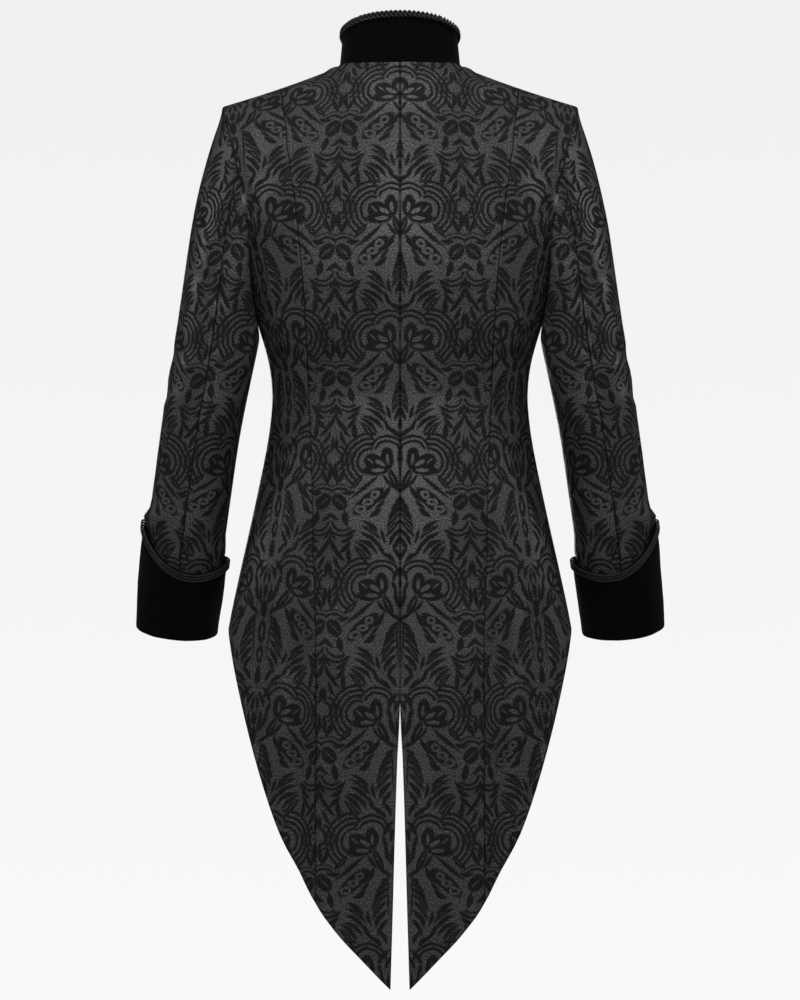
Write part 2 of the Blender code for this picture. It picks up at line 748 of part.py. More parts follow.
def build_mesh(name, points, faces, finish):
    """One named object with its own material, its corners in metres and its faces turned outwards."""
    mesh = bpy.data.meshes.new(name)
    mesh.from_pydata([point * MM for point in points], [], faces)
    shape = bmesh.new()
    shape.from_mesh(mesh)
    bmesh.ops.recalc_face_normals(shape, faces=shape.faces)
    shape.to_mesh(mesh)
    shape.free()
    piece = bpy.data.objects.new(name, mesh)
    bpy.context.scene.collection.objects.link(piece)
    material = bpy.data.materials.new(name)
    material.use_nodes = True
    shader = material.node_tree.nodes["Principled BSDF"]
    shader.inputs["Base Color"].default_value = finish.colour
    shader.inputs["Roughness"].default_value = finish.roughness
    mesh.materials.append(material)
    mesh.shade_smooth()
    mesh.set_sharp_from_angle(angle=math.radians(40))


def wall(name, outer, inner, finish, closed=False):
    """A closed wall between two grids: both faces, and the rim round them."""
    rows, columns = len(outer), len(outer[0])
    points = [point for grid in (outer, inner) for row in grid for point in row]
    inside = rows * columns

    def at(i, j):
        return i * columns + j % columns

    faces = []
    for j in range(columns if closed else columns - 1):
        for i in range(rows - 1):
            quad = [at(i, j), at(i, j + 1), at(i + 1, j + 1), at(i + 1, j)]
            faces.append(quad)
            faces.append([n + inside for n in quad])
        for i in (0, rows - 1):
            faces.append([at(i, j), at(i, j + 1), at(i, j + 1) + inside, at(i, j) + inside])
    if not closed:
        for j in (0, columns - 1):
            for i in range(rows - 1):
                faces.append([at(i, j), at(i + 1, j), at(i + 1, j) + inside, at(i, j) + inside])
    build_mesh(name, points, faces, finish)


def mirrored(grids):
    return [[[mirror(point) for point in row] for row in grid] for grid in grids]


def both_sides(name, grids, finish, closed=False):
    """The same wall on the wearer's left and, mirrored, on the right."""
    wall(name + "_left", *grids, finish, closed)
    wall(name + "_right", *mirrored(grids), finish, closed)


# ---- the pieces ------------------------------------------------------------------------------------
def build_backs(back):
    centre = back.cut(range(CENTRE_COLUMNS + 1))
    side = back.cut(range(CENTRE_COLUMNS, CENTRE_COLUMNS + SIDE_COLUMNS + 1))
    seams = ("first", "last", "top")
    both_sides("back", faces_of_wall(centre, CLOTH, seams), JACQUARD)
    both_sides("side_back", faces_of_wall(side, CLOTH, seams), JACQUARD)


def build_fronts(front):
    """The left front lies over the right one where they overlap."""
    seams = ("first", "top")
    wall("front_left", *faces_of_wall(front, CLOTH, seams), JACQUARD)
    right = front.cut(range(len(front.points[0])))
    for row, facing in zip(right.points, right.facing):
        for n in range(CHEST_COLUMNS + 1, len(row)):
            row[n] = row[n] - facing[n] * UNDER_DEPTH
    wall("front_right", *mirrored(faces_of_wall(right, CLOTH, seams)), JACQUARD)


def build_sleeves(sleeve):
    around = len(sleeve.points[0])
    fore = around - FORE_SEAM
    upper = sleeve.cut(range(HIND_SEAM, fore + 1))
    under = sleeve.cut([n % around for n in range(fore, around + HIND_SEAM + 1)])
    seams = ("first", "last", "top")
    both_sides("upper_sleeve", faces_of_wall(upper, CLOTH, seams), JACQUARD)
    both_sides("under_sleeve", faces_of_wall(under, CLOTH, seams), JACQUARD)


def cuff_height(angle):
    outer = (1 + math.cos(math.radians(angle))) / 2
    return CUFF_HEIGHT + CUFF_OUTER_RISE * outer**CUFF_SHARPNESS + CUFF_INNER_RISE * (1 - outer) ** 2


def cuff_band(foot, rows, out=0.0, proud=0.0):
    """A grid round the cuff, from foot(angle) up to its top edge and proud of it, out from its face."""
    grid = []
    for share in steps(rows):
        line = []
        for n in range(CUFF_COLUMNS):
            angle = 180 - 360 * n / CUFF_COLUMNS
            low = foot(angle)
            up = low + (cuff_height(angle) + proud - low) * share
            stand_off = CUFF_FOOT + (CUFF_TOP - CUFF_FOOT) * smooth(0, CUFF_HEIGHT, up)
            line.append(arm_point(angle, WRIST_Z + up, stand_off + out))
        grid.append(line)
    return grid


def build_cuffs():
    """A velvet cuff round each wrist, with braid along its top edge."""
    cuff = Sheet(cuff_band(lambda angle: 0.0, CUFF_ROWS), closed=True)
    both_sides("cuff", faces_of_wall(cuff, VELVET), BLACK_VELVET, closed=True)
    over, under = (
        cuff_band(lambda angle: cuff_height(angle) - CUFF_BRAID_WIDTH, 1, out, BRAID_PROUD)
        for out in (LAY_GAP + BRAID_THICKNESS, LAY_GAP)
    )
    both_sides("cuff_braid", (over, under), BRAID, closed=True)


Rim = namedtuple("Rim", "angle height")


def collar_rim(inset, foot=None):
    """The free edge of the collar from one front end to the other, drawn in by inset.

    With a foot, it also runs down both front edges to that height.
    """
    end = math.radians(COLLAR_END_ANGLE) * NECK_RADIUS
    radius = COLLAR_CORNER - inset
    half = [Rim(angle, read(COLLAR_EDGE, "height", angle) - inset) for angle in NECK_ANGLES[:-1]]
    for share in steps(CORNER_STEPS)[1:]:
        turn = math.radians(90 * share)
        across = end - COLLAR_CORNER + radius * math.sin(turn)
        height = COLLAR_EDGE[-1].height - COLLAR_CORNER + radius * math.cos(turn)
        half.append(Rim(math.degrees(across / NECK_RADIUS), height))
    if foot is not None:
        half.append(Rim(half[-1].angle, foot))
    return [Rim(-rim.angle, rim.height) for rim in half[:0:-1]] + half


def build_collar(leans):
    """The stand collar. Its foot follows the neckline, and its free edge is rounded at the front."""
    rims = collar_rim(0.0)
    points = [[neckline(rim.angle) for rim in rims]]
    for share in steps(COLLAR_ROWS)[1:]:
        points.append([neck_point(rim.angle, rim.height * share) for rim in rims])
    collar = Sheet(points)
    collar.leans[0] = [along_neckline(rim.angle, leans).normalized() for rim in rims]
    wall("collar", *faces_of_wall(collar, VELVET, ("foot",)), BLACK_VELVET)


def build_collar_braid():
    """Braid along the free edge of the collar, and down its front ends."""
    lines = [collar_rim(inset, COLLAR_BRAID_FOOT) for inset in (COLLAR_BRAID_WIDTH, -BRAID_PROUD)]
    over, under = (
        [[neck_point(r.angle, r.height) + neck_facing(r.angle) * out for r in line] for line in lines]
        for out in (LAY_GAP + BRAID_THICKNESS, LAY_GAP)
    )
    wall("collar_braid", over, under, BRAID)


def button(name, seat, outward):
    """A covered button on its shank."""
    turn = Vector((0, 0, 1)).rotation_difference(outward).to_matrix()
    points = []
    for ring in BUTTON_PROFILE:
        for n in range(BUTTON_SIDES):
            a = 2 * math.pi * n / BUTTON_SIDES
            place = Vector((ring.radius * math.cos(a), ring.radius * math.sin(a), ring.height))
            points.append(seat + turn @ place)
    points.append(seat + turn @ Vector((0, 0, BUTTON_CROWN)))
    faces = [list(range(BUTTON_SIDES))]
    last = (len(BUTTON_PROFILE) - 1) * BUTTON_SIDES
    for n in range(BUTTON_SIDES):
        m = (n + 1) % BUTTON_SIDES
        for low in range(0, last, BUTTON_SIDES):
            faces.append([low + n, low + m, low + m + BUTTON_SIDES, low + n + BUTTON_SIDES])
        faces.append([last + n, last + m, len(points) - 1])
    build_mesh(name, points, faces, BLACK_VELVET)


def build_buttons(front):
    """Buttons down the centre front, each standing just off the left front."""
    centre = [row[CHEST_COLUMNS + 2] for row in front.points]
    for n in range(BUTTONS):
        z = FIRST_BUTTON_Z - n * BUTTON_SPACING
        low, high = next(pair for pair in zip(centre, centre[1:]) if pair[1].z > z)
        along = high - low
        outward = Vector((0, -along.z, along.y)).normalized()
        seat = low + along * ((z - low.z) / along.z)
        button(f"button_{n + 1}", seat + outward * LAY_GAP, outward)


def build():
    for thing in list(bpy.data.objects):
        bpy.data.objects.remove(thing, do_unlink=True)
    back, front = Sheet(back_grid()), Sheet(front_grid())
    sleeve = Sheet(sleeve_grid(surface([back.points, front.points])), closed=True)
    sew_body(back, front, sleeve)
    neckline_leans = sew_neckline(back, front)
    build_backs(back)
    build_fronts(front)
    build_sleeves(sleeve)
    build_cuffs()
    build_collar(neckline_leans)
    build_collar_braid()
    build_buttons(front)


build()
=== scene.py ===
# %% [markdown]
# # A black jacquard tailcoat, dressed in Blender
#
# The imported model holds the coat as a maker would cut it: ten panels of
# jacquard, a stand collar and two turned-back cuffs of velvet, braid and five
# covered buttons. Those solids are plain walls with the right size and place.
# This lesson turns them into cloth. Each step says what the piece is on the
# real coat, how it could be made in Blender, and why this way was chosen.
#
# All lengths are in metres. +Z is up, the coat's front faces -Y, and the
# photograph looks at its back.

import math

import bpy
import numpy as np
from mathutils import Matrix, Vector, noise


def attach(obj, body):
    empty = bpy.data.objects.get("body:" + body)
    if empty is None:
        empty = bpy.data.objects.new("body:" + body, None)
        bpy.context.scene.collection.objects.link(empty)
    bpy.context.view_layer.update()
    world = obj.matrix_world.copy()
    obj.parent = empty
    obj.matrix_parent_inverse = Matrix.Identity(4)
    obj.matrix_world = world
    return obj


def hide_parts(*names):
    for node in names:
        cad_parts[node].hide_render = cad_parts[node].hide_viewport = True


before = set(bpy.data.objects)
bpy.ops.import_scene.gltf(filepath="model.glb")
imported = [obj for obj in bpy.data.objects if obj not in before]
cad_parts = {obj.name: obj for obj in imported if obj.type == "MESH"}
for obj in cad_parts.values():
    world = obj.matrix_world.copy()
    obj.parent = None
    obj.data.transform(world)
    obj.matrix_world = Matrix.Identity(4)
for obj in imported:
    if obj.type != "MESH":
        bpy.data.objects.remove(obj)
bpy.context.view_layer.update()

# %% [markdown]
# ## Helpers for working by hand in code
#
# Operators act on whatever is selected, just as keys do in the window. So each
# step first says which object it works on, and each shaping step runs inside
# edit mode. The first three helpers keep that in one place. The other two apply
# a modifier at once and shade a piece smooth.

# %% Selecting, and going in and out of edit mode
MM = 0.001


def only(*things):
    """Select these objects and nothing else, the first one active."""
    bpy.ops.object.select_all(action="DESELECT")
    for thing in things:
        thing.select_set(True)
    bpy.context.view_layer.objects.active = things[0]


def edit(thing, pick="ALL"):
    """Enter edit mode on one object with all of it selected, or nothing."""
    only(thing)
    bpy.ops.object.mode_set(mode="EDIT")
    bpy.ops.mesh.select_all(action="SELECT" if pick == "ALL" else "DESELECT")


def leave():
    """Go back to object mode."""
    bpy.ops.object.mode_set(mode="OBJECT")


def modify(thing, kind, **settings):
    """Add a modifier with these settings and apply it at once."""
    only(thing)
    modifier = thing.modifiers.new(kind.lower(), kind)
    for name, value in settings.items():
        setattr(modifier, name, value)
    bpy.ops.object.modifier_apply(modifier=modifier.name)


def smooth(thing, degrees=50):
    """Shade smooth, apart from edges sharper than this."""
    only(thing)
    bpy.ops.object.shade_smooth_by_angle(angle=math.radians(degrees))


# %% Reading and moving points all at once
def points_of(thing):
    """The mesh's points as an array with a row for each."""
    flat = np.empty(len(thing.data.vertices) * 3)
    thing.data.vertices.foreach_get("co", flat)
    return flat.reshape(-1, 3)


def normals_of(thing):
    """The mesh's point normals as an array with a row for each."""
    flat = np.empty(len(thing.data.vertices) * 3)
    thing.data.vertices.foreach_get("normal", flat)
    return flat.reshape(-1, 3)


def put_points(thing, points):
    """Write moved points back to the mesh."""
    thing.data.vertices.foreach_set("co", np.ascontiguousarray(points).ravel())
    thing.data.update()


# %% [markdown]
# ## Taking the cloth's face from a panel
#
# A packed panel is a closed wall: an outside face, a lining face 2 mm inside it
# and a rim between them. Only the outside face is needed, because cloth is best
# shaped as one thin sheet and given its thickness at the very end. The rim's
# triangles are the only ones with an edge shorter than the wall is thick, so
# they can be found and deleted, which leaves two loose sheets. The outside one
# is a little larger.

# %% A panel's outside face
PANELS = [
    f"{piece}_{side}"
    for piece in ("back", "side_back", "front", "upper_sleeve", "under_sleeve")
    for side in ("left", "right")
]
RIM_EDGE = 4.5 * MM  # no panel's own edges are this short, and every rim triangle has one


def copy_of(node, name):
    """A new object with its own copy of a node's mesh, merged at its points."""
    piece = bpy.data.objects.new(name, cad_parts[node].data.copy())
    bpy.context.scene.collection.objects.link(piece)
    edit(piece)
    bpy.ops.mesh.remove_doubles(threshold=0.01 * MM)
    leave()
    return piece


def larger_sheet(piece, rim_edge):
    """Cut a wall's rim away and keep the larger of the two sheets that are left, in quads."""
    mesh = piece.data
    length = {
        edge.key: (mesh.vertices[edge.key[0]].co - mesh.vertices[edge.key[1]].co).length
        for edge in mesh.edges
    }
    edit(piece, "NONE")
    bpy.ops.mesh.select_mode(type="FACE")
    leave()
    for face in mesh.polygons:
        face.select = min(length[key] for key in face.edge_keys) < rim_edge
    bpy.ops.object.mode_set(mode="EDIT")
    bpy.ops.mesh.delete(type="FACE")
    bpy.ops.mesh.separate(type="LOOSE")
    leave()
    sheets = sorted(
        bpy.context.selected_objects,
        key=lambda sheet: sum(face.area for face in sheet.data.polygons),
    )
    for spare in sheets[:-1]:
        bpy.data.objects.remove(spare)
    edit(sheets[-1])
    bpy.ops.mesh.tris_convert_to_quads(face_threshold=math.pi, shape_threshold=math.pi)
    leave()
    return sheets[-1]


def outside_face(node):
    """The outer sheet of a panel's wall, with a material of its own name."""
    sheet = larger_sheet(copy_of(node, node), RIM_EDGE)
    sheet.data.materials.clear()
    sheet.data.materials.append(bpy.data.materials.new(f"cut_{node}"))
    return sheet


sheets = [outside_face(node) for node in PANELS]
print("faces on each outside sheet:", [len(sheet.data.polygons) for sheet in sheets])

# %% [markdown]
# ## Sewing the sheets into one shell
#
# If each panel were smoothed alone, neighbours would part at the seams. A real
# coat is one surface once it is sewn, so the sheets are joined, their edges
# merged, and the whole shell subdivided together. The armhole seams and the
# padded shoulder tips stay crisp, because their edges are creased first. Each
# panel keeps a material of its own, so that it can be cut out again later.

# %% Join, merge and subdivide
SEAM_GAP = 1.2 * MM  # panels lie 0.3 mm apart at a seam, a little more at its corners


def is_sleeve(shell, face):
    """Whether a face of the shell belongs to a sleeve."""
    return "sleeve" in shell.data.materials[face.material_index].name


def crease_armholes(shell):
    """Crease the edges where a sleeve meets the body."""
    beside = {}
    for face in shell.data.polygons:
        for key in face.edge_keys:
            beside.setdefault(key, set()).add(is_sleeve(shell, face))
    edit(shell, "NONE")
    bpy.ops.mesh.select_mode(type="EDGE")
    leave()
    for edge in shell.data.edges:
        edge.select = len(beside[edge.key]) == 2
    bpy.ops.object.mode_set(mode="EDIT")
    bpy.ops.transform.edge_crease(value=0.8)
    leave()


only(*sheets)
bpy.ops.object.join()
shell = bpy.context.view_layer.objects.active
edit(shell)
bpy.ops.mesh.remove_doubles(threshold=SEAM_GAP)
leave()
crease_armholes(shell)
modify(shell, "SUBSURF", levels=2, render_levels=2, boundary_smooth="PRESERVE_CORNERS")
print("the shell after sewing:", len(shell.data.polygons), "faces")

# %% [markdown]
# ## Creases and folds
#
# Worn cloth is never as smooth as a subdivided shell. The photographed coat has
# a long soft trough down each side back below the waist, a short drag fold from
# the back of each armhole, small pulls at the waist and loose folds where the
# sleeves bend. A simulation would scatter folds anywhere, so these are listed one
# by one: a row of the table gives a fold's two ends as they are seen from one
# side, its width and its depth. Each point near that line moves along its own
# normal. Slow noise makes a fold wander and fade, so that none is a plain groove
# and the two sides aren't twins.

# %% The table of folds
# Each row: the side it is seen from, its two ends (across, height), its width and
# its depth, in millimetres. A depth below zero is a ridge. A row is used for both
# sides of the coat, and "across" is x from the back and the front, y from outside.
FOLDS = [
    # the long troughs and ridges down the side backs and the tails
    ("back", (131, -640), (124, -985), 13, 3.4),
    ("back", (152, -630), (133, -960), 10, -1.8),
    ("back", (104, -700), (92, -1010), 13, -1.4),
    ("back", (52, -800), (40, -1050), 14, 1.2),
    ("back", (78, -830), (66, -1060), 12, -1.0),
    ("back", (150, -470), (146, -640), 12, 1.4),
    # drags from the back of the armhole and under it
    ("back", (195, -128), (182, -182), 6, 2.6),
    ("back", (188, -196), (166, -262), 9, 1.6),
    ("back", (170, -300), (150, -352), 9, 1.2),
    ("back", (120, -120), (165, -170), 14, 0.9),
    # pulls across the waist
    ("back", (164, -404), (118, -424), 7, 1.5),
    ("back", (162, -446), (122, -452), 6, 1.1),
    ("back", (158, -492), (126, -480), 7, 1.2),
    ("back", (70, -356), (24, -372), 10, 0.7),
    ("back", (88, -402), (40, -410), 9, 0.8),
    # the front: drags from the armhole, the bust and the fastened edge
    ("front", (186, -150), (150, -215), 9, 2.2),
    ("front", (160, -250), (110, -262), 10, 1.4),
    ("front", (60, -340), (22, -356), 8, 1.4),
    ("front", (72, -420), (24, -430), 8, 1.3),
    ("front", (150, -400), (96, -432), 8, 1.5),
    ("front", (146, -452), (88, -462), 7, 1.2),
    ("front", (128, -500), (96, -640), 13, 2.0),
    ("front", (158, -520), (148, -660), 11, -1.6),
    # sleeves from the back: the elbow and the top of the forearm
    ("sleeve back", (216, -120), (231, -196), 10, 1.3),
    ("sleeve back", (243, -262), (212, -286), 8, 1.2),
    ("sleeve back", (262, -352), (226, -340), 9, 1.6),
    ("sleeve back", (268, -384), (226, -392), 8, 1.8),
    ("sleeve back", (266, -424), (240, -414), 7, 1.2),
    ("sleeve back", (290, -500), (262, -560), 10, 1.2),
    ("sleeve back", (240, -520), (256, -580), 8, 0.9),
    # sleeves from the front: the inside of the elbow folds deepest
    ("sleeve front", (222, -330), (262, -352), 8, 3.0),
    ("sleeve front", (218, -372), (270, -378), 8, 3.6),
    ("sleeve front", (226, -414), (272, -402), 7, 2.6),
    ("sleeve front", (236, -462), (276, -440), 8, 1.8),
    ("sleeve front", (214, -170), (228, -250), 11, 1.8),
    ("sleeve front", (262, -540), (284, -600), 9, 1.4),
    # sleeves from outside, where "across" is y
    ("sleeve outside", (-20, -150), (-4, -260), 13, 1.2),
    ("sleeve outside", (18, -350), (-22, -372), 9, 1.5),
    ("sleeve outside", (10, -400), (-28, -396), 8, 1.4),
    ("sleeve outside", (-10, -470), (-34, -560), 12, 1.2),
]


def sleeve_points(shell):
    """Which of the shell's points belong to a sleeve."""
    on_sleeve = np.zeros(len(shell.data.vertices), bool)
    for face in shell.data.polygons:
        if is_sleeve(shell, face):
            on_sleeve[list(face.vertices)] = True
    return on_sleeve


def wander(points, scale, seed):
    """Slow noise between about -1 and 1 at each point."""
    shift = Vector((seed, 2 * seed, 3 * seed))
    return np.array([noise.noise(Vector(point) * scale + shift) for point in points])


def fold_depth(across, height, start, end, width, depth):
    """How far a fold pushes in the points that lie at these places."""
    start, end = np.array(start) * MM, np.array(end) * MM
    along = end - start
    length = np.hypot(*along)
    along /= length
    from_start = np.stack([across - start[0], height - start[1]], axis=1)
    travelled = from_start @ along
    aside = from_start @ np.array([-along[1], along[0]])
    past_end = np.maximum(np.maximum(-travelled, travelled - length), 0) / (1.6 * width * MM)
    x = aside / (width * MM)
    trough = np.exp(-x * x) - 0.35 * np.exp(-((x - 1.9) ** 2)) - 0.25 * np.exp(-((x + 1.9) ** 2))
    return depth * MM * trough * np.exp(-past_end * past_end)


def add_folds(shell):
    """Press every fold of the table into the shell, on both sides of the coat."""
    points, normals = points_of(shell), normals_of(shell)
    on_sleeve = sleeve_points(shell)
    uneven = wander(points, 14.0, 3.0)
    astray = wander(points, 9.0, 11.0) * 5 * MM
    pushed = np.zeros(len(points))
    for side in (1, -1):
        x, y, z = points[:, 0] * side, points[:, 1], points[:, 2]
        for seen, start, end, width, depth in FOLDS:
            outside = seen.endswith("outside")
            across = (y if outside else x) + astray
            facing = normals[:, 0] * side if outside else normals[:, 1]
            if seen.endswith("front"):
                facing = -facing
            weight = np.clip(facing * 1.8, 0, 1) * (x > 0)
            weight *= on_sleeve if seen.startswith("sleeve") else ~on_sleeve
            place = z + (astray if side > 0 else -astray) * 0.6
            push = fold_depth(across, place, start, end, width, depth)
            pushed += push * weight * (1 + 0.7 * uneven)
    put_points(shell, points - normals * pushed[:, None])
    return pushed


pushed = add_folds(shell)
print(f"folds: {len(FOLDS)} on each side, up to {pushed.max() / MM:.1f} mm deep")

# %% [markdown]
# ## Seams and turned edges
#
# At a seam the cloth rolls down into the stitches, and at a hem it is turned
# under. Both show as a narrow soft groove or a rounded edge. An inset draws a
# new line of points just inside each panel's outline, and then the outline
# itself is pressed in. The stitches pull a little more in some places than in
# others, which gives the slight pucker of a sewn seam.

# %% Roll the panels' edges in
SEAM_ROLL = 1.8 * MM  # from the seam to where the cloth lies flat again
SEAM_DEPTH = 0.7 * MM
HEM_DEPTH = 0.35 * MM


def outline_points(shell):
    """For each point: 2 on a seam between panels, 1 on a free edge, 0 elsewhere."""
    beside = [set() for _ in shell.data.vertices]
    uses = {}
    for face in shell.data.polygons:
        for corner in face.vertices:
            beside[corner].add(face.material_index)
        for key in face.edge_keys:
            uses[key] = uses.get(key, 0) + 1
    kind = np.array([2 if len(panels) > 1 else 0 for panels in beside])
    for key, times in uses.items():
        if times == 1:
            for end in key:
                kind[end] = max(kind[end], 1)
    return kind


def inset_panels(shell):
    """Draw a line of points just inside every panel's outline."""
    for index in range(len(shell.data.materials)):
        edit(shell, "NONE")
        bpy.ops.mesh.select_mode(type="FACE")
        shell.active_material_index = index
        bpy.ops.object.material_slot_select()
        bpy.ops.mesh.inset(thickness=SEAM_ROLL, depth=0, use_boundary=True)
        leave()


inset_panels(shell)
kind = outline_points(shell)
points, normals = points_of(shell), normals_of(shell)
pucker = 1 + 0.35 * wander(points, 130.0, 5.0)
sink = np.select([kind == 2, kind == 1], [SEAM_DEPTH, HEM_DEPTH], 0) * pucker
put_points(shell, points - normals * sink[:, None])
# painted shade: points on seams get 1 and points on free edges 0.9, and the jacquard darkens its
# colour and its satin gloss there in place of the shade that falls in the grooves
painted_seam_shade = shell.data.attributes.new("painted_seam_shade", "FLOAT", "POINT")
painted_seam_shade.data.foreach_set("value", np.select([kind == 2, kind == 1], [1.0, 0.9], 0.0))
print("points on seams:", int((kind == 2).sum()), "on free edges:", int((kind == 1).sum()))

# %% [markdown]
# ## The neckline under the collar
#
# On the coat the neck edge is sewn in between the collar's two layers, so no raw
# edge shows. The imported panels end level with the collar's foot. So the points
# near the neck edge move up and in a little, behind the velvet, and those
# further away move less and less. By hand this would be a move with
# proportional editing, and here the same soft falloff is written out.

# %% Tuck the neckline under the collar
NECK_HALF_WIDTH = 90 * MM  # the neckline lies within this much of the middle
NECK_BOTTOM = -100 * MM  # and above this
TUCK_UP = 4.0 * MM
TUCK_IN = 1.6 * MM
TUCK_FADE = 5.0 * MM  # this far from the edge about a third of the move is left


def near_edge(points, edge, fade):
    """1 at the nearest of some edge points, falling to 0 a few fades away."""
    nearest = np.full(len(points), np.inf)
    for place in edge:
        nearest = np.minimum(nearest, np.linalg.norm(points - place, axis=1))
    return np.exp(-((nearest / fade) ** 2))


points, normals = points_of(shell), normals_of(shell)
at_neck = (np.abs(points[:, 0]) < NECK_HALF_WIDTH) & (points[:, 2] > NECK_BOTTOM)
tucked = np.zeros(len(points))
tucked[at_neck] = near_edge(points[at_neck], points[at_neck & (kind == 1)], TUCK_FADE)
points += tucked[:, None] * (np.array([0, 0, TUCK_UP]) - normals * TUCK_IN)
put_points(shell, points)
print("points tucked under the collar:", int((tucked > 0.5).sum()))

# %% [markdown]
# ## Sleeves that fill their cuffs
#
# In the photograph each sleeve swells just above its cuff. The cloth there is a
# little too long, and it rests in the mouth of the cuff. Points at that height
# are pushed along their own normals, first more and more and then less again,
# so that the cloth is back in its place well inside the cuff. The outer side
# swells higher up, because the cuff's edge rises towards it.

# %% Bunch the sleeves where they go into the cuffs
# Each row: the side of the arm (1 is the outer one), the heights where the cloth starts
# to bulge, where it fills the cuff's mouth and where it lies as it was cut again, and how
# far it is pushed, in millimetres.
BUNCHES = [
    (1, -534, -550, -574, 7.0),
    (-1, -574, -590, -612, 2.6),
]


def soft_step(value, start, full):
    """0 at the start, 1 at the full value, and a soft slope between."""
    t = np.clip((value - start) / (full - start), 0, 1)
    return t * t * (3 - 2 * t)


def bunch_sleeves(shell):
    """Push the sleeves' ends out into the mouths of the cuffs; return the longest push."""
    points, normals = points_of(shell), normals_of(shell)
    on_sleeve = sleeve_points(shell)
    height = points[:, 2] / MM
    push = np.zeros(len(points))
    for side, start, full, end, reach in BUNCHES:
        facing = np.clip(1.3 * side * normals[:, 0] * np.sign(points[:, 0]), 0, 1)
        bulge = soft_step(height, start, full) * soft_step(height, end, full)
        push += bulge * facing * on_sleeve * reach * MM
    put_points(shell, points + normals * push[:, None])
    return push.max()


longest_push = bunch_sleeves(shell)
print(f"the sleeves' ends stand out by up to {longest_push / MM:.1f} mm")

# %% [markdown]
# ## The top of the vent
#
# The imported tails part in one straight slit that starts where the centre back
# seam ends. On the coat the slit stays shut for a few centimetres more, because
# one edge laps over the other there. So the two edges are drawn together at the
# top, the right one is pressed in under the left one, and below that both go
# back to where they were cut.

# %% Lap the top of the vent
VENT_TOP = -721 * MM  # where the centre back seam ends
VENT_OPENS = -749 * MM  # above this the two edges lap
VENT_AS_CUT = -830 * MM  # below this they hang apart as they were cut
VENT_SLOPE = 0.0296  # how far each edge moves aside on its way down, as a share of that way
VENT_SPREAD = 30 * MM  # how far from the edge the cloth gives
TAILS_BEHIND = 100 * MM  # the edges of the tails are all further back than this
LAP = 1.3 * MM  # how far one edge passes the other
LAP_UNDER = 1.56 * MM  # how far the right edge is pressed in
LAP_LENGTH = 37.8 * MM  # how far down from the seam's end the lap reaches


def lap_vent(points):
    """Draw the tails' inner edges together under the seam, the right one underneath."""
    x, y, z = points.T
    down = np.maximum(VENT_TOP - z, 0)
    closed = np.clip((z - VENT_AS_CUT) / (VENT_OPENS - VENT_AS_CUT), 0, 1)
    near = np.clip(1 - np.abs(x) / VENT_SPREAD, 0, 1) * (y > TAILS_BEHIND) * (down > 0)
    lap = np.sin(np.pi * np.clip(down / LAP_LENGTH, 0, 1))
    moved = points.copy()
    moved[:, 0] -= np.sign(x) * near * (VENT_SLOPE * down * closed + LAP / 2 * lap)
    moved[:, 1] -= (x < 0) * near * lap * LAP_UNDER
    return moved


before = points_of(shell)
after = lap_vent(before)
put_points(shell, after)
print("points moved at the vent:", int(np.any(after != before, axis=1).sum()))

# %% [markdown]
# ## Cutting the shell back into its panels
#
# Each panel is a piece of its own on the real coat, so the shell is separated by
# material. Every piece is unwrapped flat, which is just what a tailor's pattern
# is, and its map is scaled to metres and turned until the grain runs straight
# up. The map then gives the piece's flat size, and the pattern is woven along
# it. Left and right are mirrored, so that the flowers meet at the centre back.

# %% Separate and unwrap
SEAM_TAKES_IN = 9 * MM  # of the figure on each side of the centre back seam
SEAM_MEASURED_BELOW = -520 * MM
ON_SEAM = 0.6 * MM  # points this near the middle are on the centre back seam
LINING_DEPTH = 1.4 * MM  # the jacquard with its lining, as thick as it looks at an edge


def area_on_map(mesh, uv):
    """The area that a mesh's faces cover on its map."""
    area = 0.0
    for face in mesh.polygons:
        x, y = uv[list(face.loop_indices)].T
        area += 0.5 * np.sum(x * np.roll(y, -1) - y * np.roll(x, -1))
    return abs(area)


def grain_up(uv, height):
    """Turn a map until the direction that climbs fastest on the coat is up."""
    level = np.column_stack([uv, np.ones(len(uv))])
    slope = np.linalg.lstsq(level, height, rcond=None)[0][:2]
    up = slope / np.hypot(*slope)
    return np.column_stack([uv @ np.array([up[1], -up[0]]), uv @ up])


def flatten(piece, node):
    """Unwrap a panel to metres with its grain upright; return its width, length and area."""
    edit(piece)
    bpy.ops.uv.unwrap(method="ANGLE_BASED", margin=0)
    leave()
    mesh = piece.data
    corner = np.empty(len(mesh.loops), int)
    mesh.loops.foreach_get("vertex_index", corner)
    points = points_of(piece)[corner]
    flat = np.empty(len(mesh.loops) * 2)
    mesh.uv_layers.active.data.foreach_get("uv", flat)
    uv = flat.reshape(-1, 2)
    cloth_area = sum(face.area for face in mesh.polygons)
    uv *= math.sqrt(cloth_area / area_on_map(mesh, uv))
    uv = grain_up(uv, points[:, 2])
    if node.endswith("left"):
        uv[:, 0] *= -1
    if node.startswith("back"):
        on_seam = (np.abs(points[:, 0]) < ON_SEAM) & (points[:, 2] < SEAM_MEASURED_BELOW)
        uv[:, 0] += SEAM_TAKES_IN - uv[on_seam, 0].mean()
    else:
        uv[:, 0] -= uv[:, 0].mean()
    uv[:, 1] += (points[:, 2] - uv[:, 1]).mean()
    mesh.uv_layers.active.data.foreach_set("uv", uv.ravel())
    width, length = np.ptp(uv, axis=0)
    return float(width), float(length), float(cloth_area)


only(shell)
bpy.ops.object.mode_set(mode="EDIT")
bpy.ops.mesh.separate(type="MATERIAL")
leave()
panels, flat_sizes = {}, {}
for piece in list(bpy.context.selected_objects):
    cut = piece.data.materials[piece.data.polygons[0].material_index]
    node = cut.name.removeprefix("cut_")
    piece.name = f"{node}_jacquard"
    panels[node] = piece
for node in PANELS:
    flat_sizes[node] = flatten(panels[node], node)

